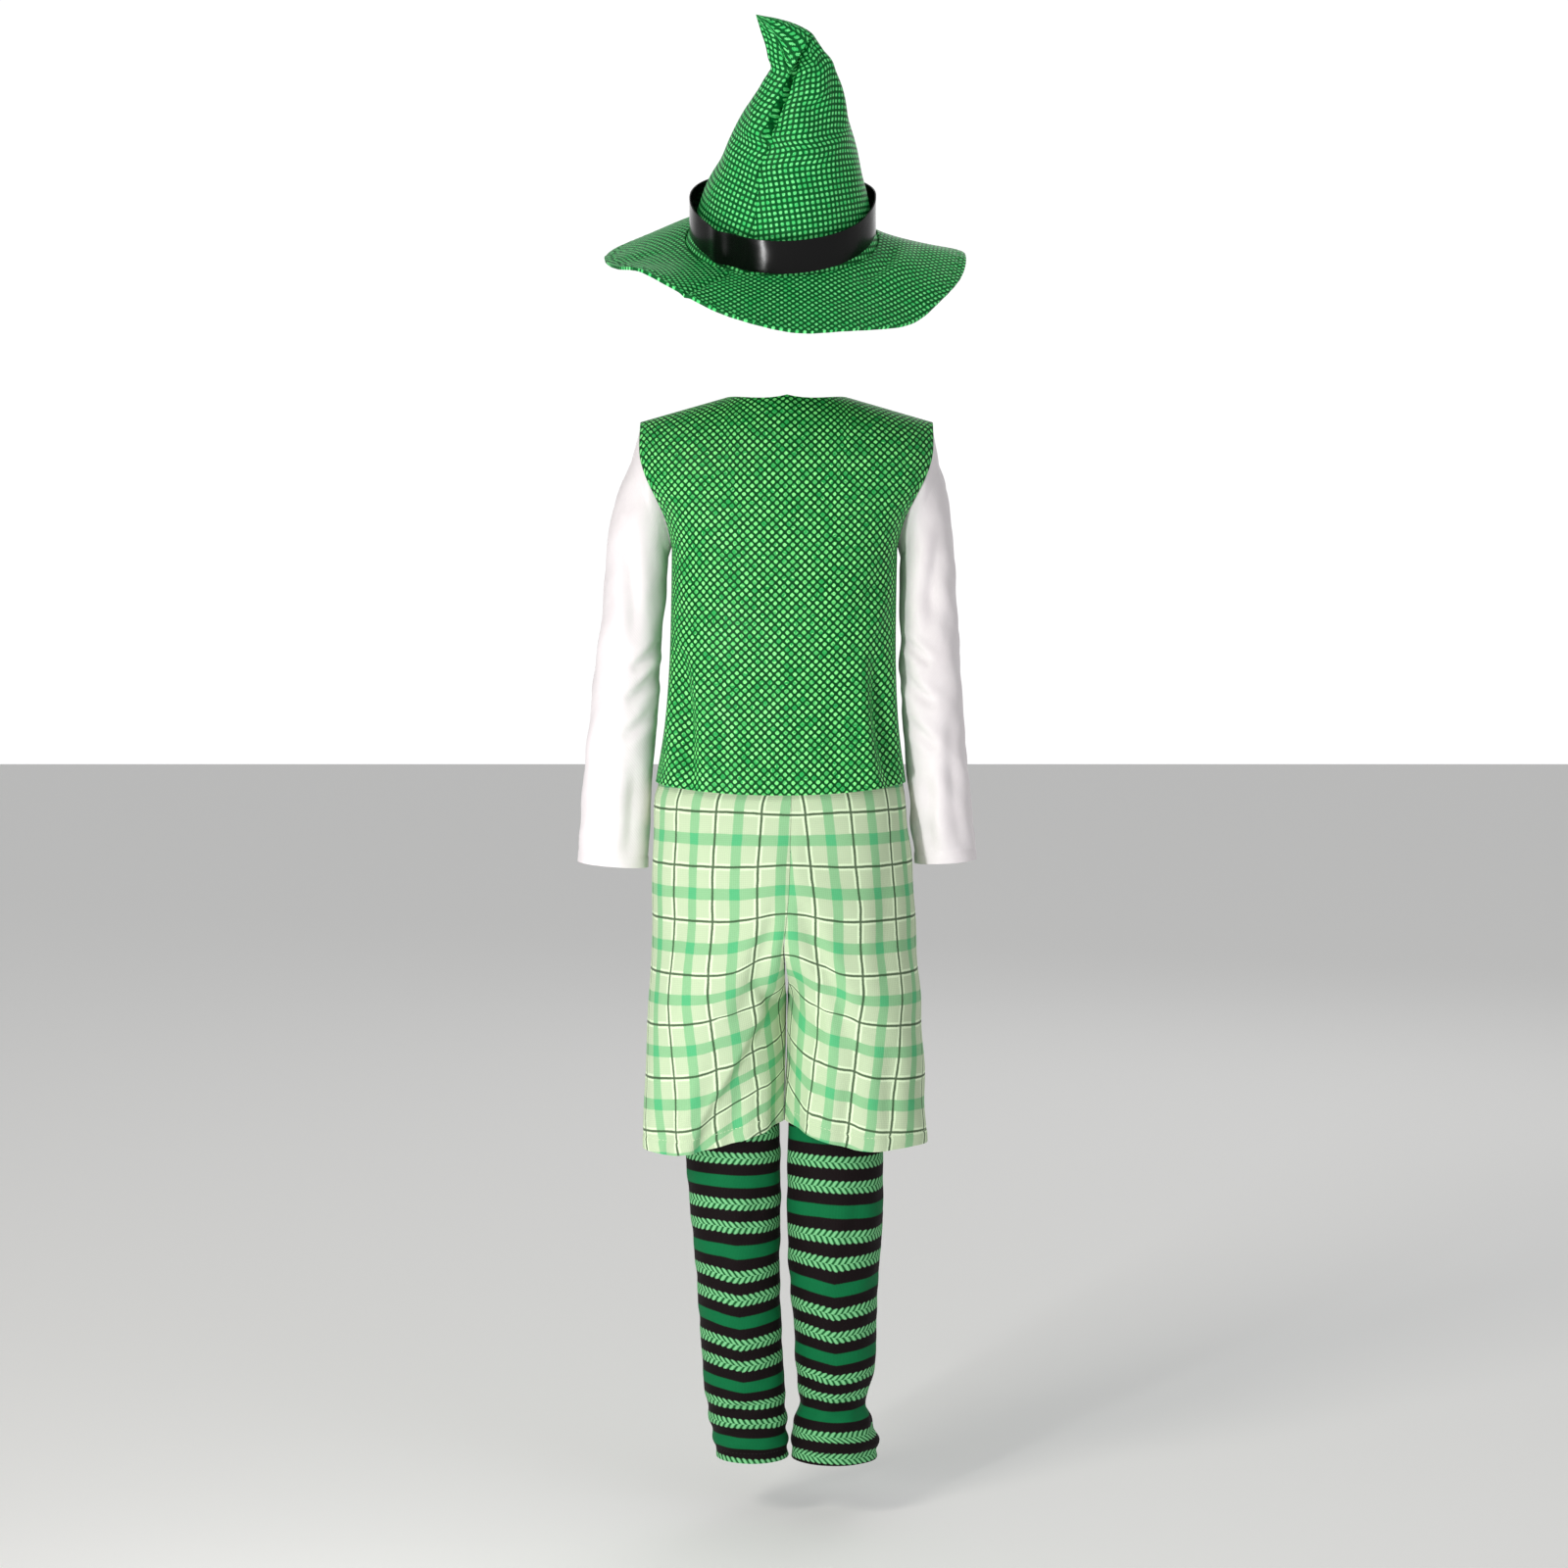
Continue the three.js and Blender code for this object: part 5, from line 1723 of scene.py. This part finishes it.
@dataclass
class StripedLeg:
    """A striped lower leg: a loose knitted tube, sewn inside the shorts, that bunches at the ankle."""

    side: Side
    shorts: Shorts
    sections: Sections
    stripe_places: Sections
    creases: tuple[Crease, ...]
    columns: int = 120
    row_step: float = 2.4
    wall: float = 1.4
    sewn_z: float = -632.0
    sewn_inset: float = 6.5
    sewn_steps: int = 10
    front_shift: Pair = (6.0, 9.0)
    waves: Waves = Waves(71, 40.0, 0.55)
    dip: float = 6.0
    dip_half_width: float = 40.0
    dip_start: Pair = (800.0, 880.0)
    dip_end: Pair = (-1020.0, -960.0)
    hem: float = 11.0

    def sewn_ring(self, turn: Grid) -> Grid:
        """Return the sewn end, which follows the shorts' own section from inside.

        Args:
            turn: angles in radians.

        Returns:
            The points in mm.
        """
        share = np.where(turn <= math.pi, math.pi - turn, 3.0 * math.pi - turn) / (2.0 * math.pi)
        ring = self.shorts.section_point(self.side, np.full_like(share, self.sewn_z), share)
        centre = ring.mean(axis=1, keepdims=True)
        inward = centre - ring
        inward[..., 2] = 0.0
        return ring + inward / np.linalg.norm(inward, axis=-1, keepdims=True) * self.sewn_inset

    def build(self) -> Cloth:
        """Make the leg with its creases, its hem and its cut, in which stripes are counted along the leg.

        Returns:
            The cloth, ready to build.
        """
        turn = 2.0 * math.pi * np.arange(self.columns)[None, :] / self.columns
        high, low = self.sections.rows[0][0], self.sections.rows[-1][0]
        count = int(round((high - low) / self.row_step)) + 1
        z = np.linspace(high, low, count)[:, None]
        read = self.sections.read
        x = read(z, "middle_x") + self.side.value * read(z, "half_width") * np.cos(turn)
        y = read(z, "back") + read(z, "half_depth") * np.sin(turn)
        x, y, zz = np.broadcast_arrays(x, y, z)
        tube = np.stack([x, y, zz], axis=-1)
        sewn = self.sewn_ring(turn)
        share = (np.arange(self.sewn_steps) / self.sewn_steps)[:, None, None]
        base = np.concatenate([sewn + (tube[:1] - sewn) * share, tube])
        normals = outward_normals(base, True)
        across = self.side.value * base[..., 0]
        back = smooth_step(np.sin(turn), -0.2, 0.3)
        to_side, to_top = self.front_shift
        front = total_depth(self.creases, across + to_side, base[..., 2] + to_top)
        depth = total_depth(self.creases, across, base[..., 2]) * back + front * (1.0 - back)
        depth = depth + self.waves.at(turn * 42.0, base[..., 2] * 1.4, self.side.value)
        from_hem = from_last_row(base)
        fade = smooth_step(column_lengths(base), 30.0, 80.0)
        groove = 0.4 * bell(from_hem - self.hem, 1.4)
        outer = base - normals * (depth * fade + groove)[..., None]
        stripes = self.stripe_places.read(base[..., 2], "stripe")
        dip = self.stripe_dip(across, base[..., 2]) * np.sin(turn).clip(0.0, 1.0)
        cut = np.stack([row_lengths(wrap(outer), 0), wrap(stripes + dip)], axis=2)
        return Cloth(self.side.node("striped_leg") + "_cloth", outer, cut, self.wall, closed=True)

    def stripe_dip(self, across: Grid, z: Grid) -> Grid:
        """Return how far the stripes lean, and dip where the cloth hangs slack over the calf.

        Args:
            across: places across the leg.
            z: their heights.

        Returns:
            The shift at each place in mm.
        """
        middle = np.abs(self.sections.read(z, "middle_x"))
        off = (across - middle) / self.dip_half_width
        slack = smooth_step(-z, *self.dip_start) * smooth_step(z, *self.dip_end)
        return self.dip * np.maximum(1.0 - np.abs(off), 0.0) * slack - 2.0 * self.side.value * off


STRIPED_COLUMN_NAMES = ("z", "middle_x", "half_width", "half_depth", "back")
STRIPED_SECTIONS = {
    Side.LEFT: Sections(
        STRIPED_COLUMN_NAMES,
        (
            (-656, 62, 54, 50, 0), (-695, 56, 48.5, 46, 0), (-750, 53.6, 47.5, 46, 0),
            (-813, 51, 44.2, 46, 1), (-871, 48.6, 41.6, 44.5, 2), (-915, 46.5, 40.6, 42.5, 3),
            (-958, 44, 40.3, 40.5, 3), (-985, 42, 40.8, 40, 4), (-1000, 40.5, 38.6, 38, 4),
            (-1012, 39, 39.8, 40, 4), (-1023, 37.8, 36.8, 37, 4), (-1033, 36.5, 38.2, 39, 4),
            (-1042, 35.5, 35.6, 36.5, 4), (-1050, 34.5, 36.4, 37.5, 4),
        ),
    ),
    Side.RIGHT: Sections(
        STRIPED_COLUMN_NAMES,
        (
            (-656, -58, 54, 52, 0), (-695, -50, 48, 46, 0), (-750, -48.2, 48, 46, 0),
            (-813, -48, 47.8, 46, 1), (-871, -47, 44.4, 45, 2), (-920, -48.3, 41, 43, 3),
            (-958, -48.6, 39.6, 40.5, 3), (-982, -47, 35.5, 38, 4), (-998, -45.5, 32.5, 36, 4),
            (-1012, -46, 38.5, 40, 4), (-1023, -46.5, 40, 39.5, 4), (-1034, -48, 44.4, 42.5, 4),
            (-1043, -47.4, 42.2, 41, 4), (-1051, -47.6, 43.2, 42, 4),
        ),
    ),
}

# Where each green stripe lies: its height at the back of the leg, and its place in the repeat in mm
STRIPE_PLACES = {
    Side.LEFT: Sections(
        ("z", "stripe"),
        ((-600, 166), (-697, 68.4), (-766, 0), (-834, -68.4), (-902, -136.8), (-968, -205.2), (-1030, -273.6),
         (-1056, -302)),
    ),
    Side.RIGHT: Sections(
        ("z", "stripe"),
        ((-600, 121), (-653, 68.4), (-723, 0), (-796, -68.4), (-869, -136.8), (-939, -205.2), (-1002, -273.6),
         (-1056, -332)),
    ),
}

LEG_CREASES = {
    Side.LEFT: each(
        Crease, ((20, -760), (48, -830), 1.6, 8, 3), ((74, -780), (56, -860), 1.6, 8, -3),
        ((12, -985), (72, -1000), 1.8, 5, 3), ((10, -1012), (66, -1026), 1.8, 5, -3),
        ((16, -960), (60, -952), 1.2, 6, 2),
    ),
    Side.RIGHT: each(
        Crease, ((20, -770), (44, -840), 1.6, 8, 3), ((72, -770), (54, -850), 1.6, 8, -3),
        ((18, -984), (76, -996), 1.8, 5, 3), ((16, -1008), (80, -1024), 1.8, 5, -3),
        ((20, -962), (64, -956), 1.2, 6, 2),
    ),
}


# Stitching


@dataclass
class Stitching:
    """Rows of machine stitches: one stitch is modelled, copied and joined with its copies into one mesh."""

    length: float = 3.0
    width: float = 0.75
    height: float = 0.5
    pitch: float = 4.0
    segments: int = 8
    rings: int = 5

    def model_stitch(self) -> tuple[Grid, list[tuple[int, ...]]]:
        """Model one stitch: a thread that dips into the cloth at both ends.

        Returns:
            Its points in mm, along X and standing up along Z, and its faces.
        """
        bpy.ops.object.select_all(action="DESELECT")
        bpy.ops.mesh.primitive_uv_sphere_add(segments=self.segments, ring_count=self.rings, radius=0.5)
        stitch = bpy.context.active_object
        bpy.ops.object.mode_set(mode="EDIT")
        bpy.ops.mesh.select_all(action="SELECT")
        bpy.ops.transform.rotate(value=math.pi / 2, orient_axis="Y", center_override=(0.0, 0.0, 0.0))
        bpy.ops.transform.resize(value=(self.length, self.width, self.height))
        bpy.ops.object.mode_set(mode="OBJECT")
        mesh = stitch.data
        points = np.array([tuple(vertex.co) for vertex in mesh.vertices])
        points[:, 2] -= 0.35 * self.height * (2.0 * points[:, 0] / self.length) ** 2
        faces = [tuple(face.vertices) for face in mesh.polygons]
        bpy.data.objects.remove(stitch)
        bpy.data.meshes.remove(mesh)
        return points, faces

    def along(self, path: Grid, normals: Grid, closed: bool) -> tuple[Grid, Grid, Grid]:
        """Walk a path in steps of one pitch.

        Args:
            path: the points that the row follows, in mm.
            normals: the cloth's normal at each point.
            closed: whether the path returns to its start.

        Returns:
            The middle, direction and normal of each stitch.
        """
        if closed:
            path = np.concatenate([path, path[:1]])
            normals = np.concatenate([normals, normals[:1]])
        steps = np.linalg.norm(np.diff(path, axis=0), axis=1)
        length = np.concatenate([[0.0], np.cumsum(steps)])
        count = max(int(round(length[-1] / self.pitch)), 1)
        middles = (np.arange(count) + 0.5) * length[-1] / count
        reach = self.length / 2.0

        def at(places: Grid, values: Grid) -> Grid:
            """Read values at places along the path."""
            return np.stack([np.interp(places, length, values[:, axis]) for axis in range(3)], axis=1)

        ahead = at(np.minimum(middles + reach, length[-1]), path)
        direction = ahead - at(np.maximum(middles - reach, 0.0), path)
        direction /= np.linalg.norm(direction, axis=1, keepdims=True)
        return at(middles, path), direction, at(middles, normals)

    def build(self, name: str, rows: Sequence[tuple[Grid, Grid, bool]]) -> bpy.types.Object:
        """Copy the stitch along each row and join the copies.

        Args:
            name: the new object's name.
            rows: for each row its path, its normals and whether it is closed.

        Returns:
            The linked object.
        """
        stitch, faces = self.model_stitch()
        points: list[Grid] = []
        for path, normals, closed in rows:
            middles, direction, up = self.along(path, normals, closed)
            across = np.cross(up, direction)
            across /= np.linalg.norm(across, axis=1, keepdims=True)
            up = np.cross(direction, across)
            axes = np.stack([direction, across, up], axis=1)
            points.append(middles[:, None, :] + np.einsum("pk,nkd->npd", stitch, axes))
        copies = np.concatenate(points)
        mesh = bpy.data.meshes.new(name)
        starts = range(0, len(stitch) * len(copies), len(stitch))
        all_faces = [tuple(start + index for index in face) for start in starts for face in faces]
        mesh.from_pydata((copies.reshape(-1, 3) * MM).tolist(), [], all_faces)
        piece = bpy.data.objects.new(name, mesh)
        bpy.context.scene.collection.objects.link(piece)
        smooth(piece)
        return piece


# Stage


@dataclass(frozen=True)
class Softbox:
    """A rectangular light: its place and target in metres, its width and height, its watts and its colour."""

    name: str
    place: Point
    target: Point
    size: Pair
    power: float
    colour: str

    def build(self) -> None:
        """Hang the light and turn it to its target."""
        light = bpy.data.lights.new(self.name, "AREA")
        light.shape = "RECTANGLE"
        light.size, light.size_y = self.size
        light.energy = self.power
        light.color = linear(self.colour)[:3]
        lamp = bpy.data.objects.new(self.name, light)
        lamp.location = self.place
        lamp.visible_camera = False
        lamp.rotation_euler = facing(self.place, self.target)
        bpy.context.scene.collection.objects.link(lamp)


def facing(place: Sequence[float], target: Sequence[float]) -> Euler:
    """Return the rotation that turns a light or camera at a place to its target."""
    return (Vector(target) - Vector(place)).to_track_quat("-Z", "Y").to_euler()


# The middle of the costume and the hat's band, which the lights face
MIDDLE = (0.0, 0.0, -0.45)
BAND = (0.02, 0.09, 0.14)
SOFTBOXES = each(
    Softbox,
    ("key_softbox", (2.2, 2.6, 1.9), MIDDLE, (1.1, 1.1), 43.0, "#fffaf2"),
    ("fill_softbox", (-2.4, 2.6, 0.9), MIDDLE, (1.7, 1.7), 7.0, "#f3f7ff"),
    ("front_softbox", (-1.2, -3.0, 1.5), MIDDLE, (1.9, 1.9), 12.0, "#ffffff"),
    ("strip_softbox", (0.58, 1.06, -0.76), BAND, (0.06, 0.5), 10.0, "#ffffff"),
)


@dataclass
class Stage:
    """Pale floor, soft studio light and the camera behind the wearer."""

    floor_z: float = -1.109
    camera_place: Point = (0.0029, 3.400, -0.143)
    camera_target: Point = (0.0029, 0.0, -0.376)
    lens: float = 78.9
    sensor_width: float = 36.0
    floor_size: float = 24.0
    floor_colour: str = "#f7f7f6"
    air_edge: Pair = (-0.95, -0.75)
    air_strength: Pair = (1.05, 0.48)

    def build(self) -> None:
        """Make the floor, the camera, the air and the lights."""
        self.build_floor()
        self.build_camera()
        self.build_air()
        for softbox in SOFTBOXES:
            softbox.build()
        bpy.context.scene.view_settings.view_transform = "Standard"

    def build_floor(self) -> None:
        """Make the floor, below the level of the soles of the wearer's shoes."""
        bpy.ops.object.select_all(action="DESELECT")
        bpy.ops.mesh.primitive_grid_add(x_subdivisions=8, y_subdivisions=8, size=self.floor_size)
        floor = bpy.context.active_object
        floor.name = "studio_floor"
        floor.data.transform(floor.matrix_basis)
        for vertex in floor.data.vertices:
            vertex.co.z += self.floor_z
        floor.select_set(False)
        material, add = new_material("matt_white_floor")
        grain = add("TexNoise", {"Vector": add("TexCoord").outputs["Object"], "Scale": 40.0})
        bump = add("Bump", {"Height": grain, "Distance": 0.0002, "Strength": 0.2})
        close_material(add, linear(self.floor_colour), 0.8, bump, {})
        floor.data.materials.append(material)
        floor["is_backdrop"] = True

    def build_camera(self) -> None:
        """Set up the camera at the photo's angle."""
        camera = bpy.data.objects.new("studio_camera", bpy.data.cameras.new("studio_camera"))
        camera.data.lens = self.lens
        camera.data.sensor_width = self.sensor_width
        camera.data.clip_end = 100.0
        camera.location = self.camera_place
        camera.rotation_euler = facing(self.camera_place, self.camera_target)
        bpy.context.scene.collection.objects.link(camera)
        bpy.context.scene.camera = camera

    def build_air(self) -> None:
        """Make the air white behind the costume, as in the photo, and dimmer elsewhere."""
        scene = bpy.context.scene
        world = scene.world or bpy.data.worlds.new("studio_air")
        scene.world = world
        world.use_nodes = True
        add = partial(add_node, world.node_tree)
        view = add("SeparateXYZ", {0: add("TexCoord").outputs["Generated"]})
        strength = {"Value": view.outputs[1]}
        strength.update(zip(("From Min", "From Max", "To Min", "To Max"), self.air_edge + self.air_strength))
        background = world.node_tree.nodes["Background"]
        background.inputs["Color"].default_value = linear("#ffffff")
        world.node_tree.links.new(add("MapRange", strength).outputs[0], background.inputs["Strength"])


# Costume


@dataclass
class SheetFacts:
    width: float
    length: float
    area: float
    held: str


FINISHES = {
    # The hat's cloth: its lit dot colour, the dot colour in painted shade and its line colour.
    "hat": DotCloth("printed_satin_hat", 5.45, 3.15, 0.0, light="#80ff9c", painted_shade_dot="#43d872", line="#00642a"),
    "vest": DotCloth("printed_satin_top", 5.7, 3.75, 45.0),
    "plaid": PlaidCloth("yarn_dyed_plaid_cotton"),
    "stripes": StripedJersey("knitted_striped_jersey"),
    "sleeve": WhiteSatin("white_polyester_satin"),
    "band": BlackVinyl("black_pvc_vinyl"),
    "green_thread": Thread("green_polyester_thread", "#1c7f3c"),
    "white_thread": Thread("white_polyester_thread", "#efeaec"),
    "pale_thread": Thread("pale_green_polyester_thread", "#c9dcb6"),
    "black_thread": Thread("black_polyester_thread", "#1b1517"),
}


def edge_row(cloth: Cloth, row: int) -> tuple[Grid, Grid, bool]:
    """Return one row of a cloth as a stitch path, with its normals and whether it is closed."""
    normals = outward_normals(cloth.outer, cloth.closed, cloth.away)
    return cloth.outer[row], normals[row], cloth.closed


def row_at(cloth: Cloth, from_end: float) -> int:
    """Return the row that lies a distance in mm from the last one, as a mean over the columns."""
    return int(np.argmin(np.abs(from_last_row(cloth.outer).mean(axis=1) - from_end)))


@dataclass
class Costume:
    """All pieces of the costume, with their finishes and threads."""

    hat: Hat = field(default_factory=Hat)
    vest: Vest = field(default_factory=Vest)
    shorts: Shorts = field(default_factory=Shorts)
    waistband: Waistband = field(default_factory=Waistband)
    stitching: Stitching = field(default_factory=Stitching)
    materials: dict[str, bpy.types.Material] = field(default_factory=dict)

    def add(
        self, node: str, cloth: Cloth, finish: str, slot: str, thread: str = "", rows: Sequence = ()
    ) -> None:
        """Args:
            node: the solid that it stands for.
            cloth: the cloth.
            finish: the key of its finish.
            slot: not used.
            thread: the key of its thread's finish, where it is stitched.
            rows: the stitch rows.
        """
        piece = dress(cloth.build(), self.materials[finish], (node,))
        if rows:
            seam = self.stitching.build(node + "_stitches", rows)
            dress(seam, self.materials[thread])
        LOG.info("%s measures %s mm", node, np.round(np.ptp(cloth.cut.reshape(-1, 2), axis=0)))

    def build(self) -> None:
        """Make every piece."""
        self.materials = {key: finish.make() for key, finish in FINISHES.items()}
        self.build_hat()
        self.build_top()
        self.build_trousers()

    def build_hat(self) -> None:
        """Make the crown, the brim with its topstitching and the band."""
        crown = self.hat.build_crown()
        brim = self.hat.build_brim()
        self.add("hat_crown", crown, "hat", "green_dot_cloth")
        top_row = row_at(brim, self.hat.brim_stitch_inset)
        self.add("hat_brim", brim, "hat", "green_dot_cloth", "green_thread", [edge_row(brim, top_row)])
        self.add("hat_band", self.hat.build_band(), "band", "black_pu")

    def build_top(self) -> None:
        """Make the back, the front and both sleeves."""
        for face in Face:
            panel = self.vest.build_panel(face)
            rows = [edge_row(panel, row_at(panel, self.vest.hem))]
            self.add(face.node, panel, "vest", "green_dot_cloth", "green_thread", rows)
        for side in Side:
            sleeve = Sleeve(side, self.vest, SLEEVE_SECTIONS[side], SLEEVE_BACK[side], SLEEVE_FRONT)
            cloth = sleeve.build()
            rows = [edge_row(cloth, row_at(cloth, sleeve.hem))]
            self.add(side.node("sleeve"), cloth, "sleeve", "white_cloth", "white_thread", rows)

    def build_trousers(self) -> None:
        """Make the waistband, the plaid legs and the striped legs."""
        self.add("waistband", self.waistband.build(), "plaid", "plaid_cloth")
        for side in Side:
            leg = self.shorts.build_leg(side)
            rows = [edge_row(leg, row_at(leg, self.shorts.hem))]
            self.add(side.node("shorts"), leg, "plaid", "plaid_cloth", "pale_thread", rows)
        for side in Side:
            tables = (STRIPED_SECTIONS[side], STRIPE_PLACES[side], LEG_CREASES[side])
            striped = StripedLeg(side, self.shorts, *tables)
            cloth = striped.build()
            rows = [edge_row(cloth, row_at(cloth, striped.hem))]
            self.add(side.node("striped_leg"), cloth, "stripes", "striped_jersey", "black_thread", rows)


def main() -> None:
    """Build the costume and the stage."""
    logging.basicConfig(level=logging.INFO, format="%(message)s")
    Stage().build()
    Costume().build()
    boxes = {"cad": cad_box, "visual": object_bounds()}
    plain = {name: [[float(v) for v in corner] for corner in box] for name, box in boxes.items()}


if __name__ == "__main__":
    main()
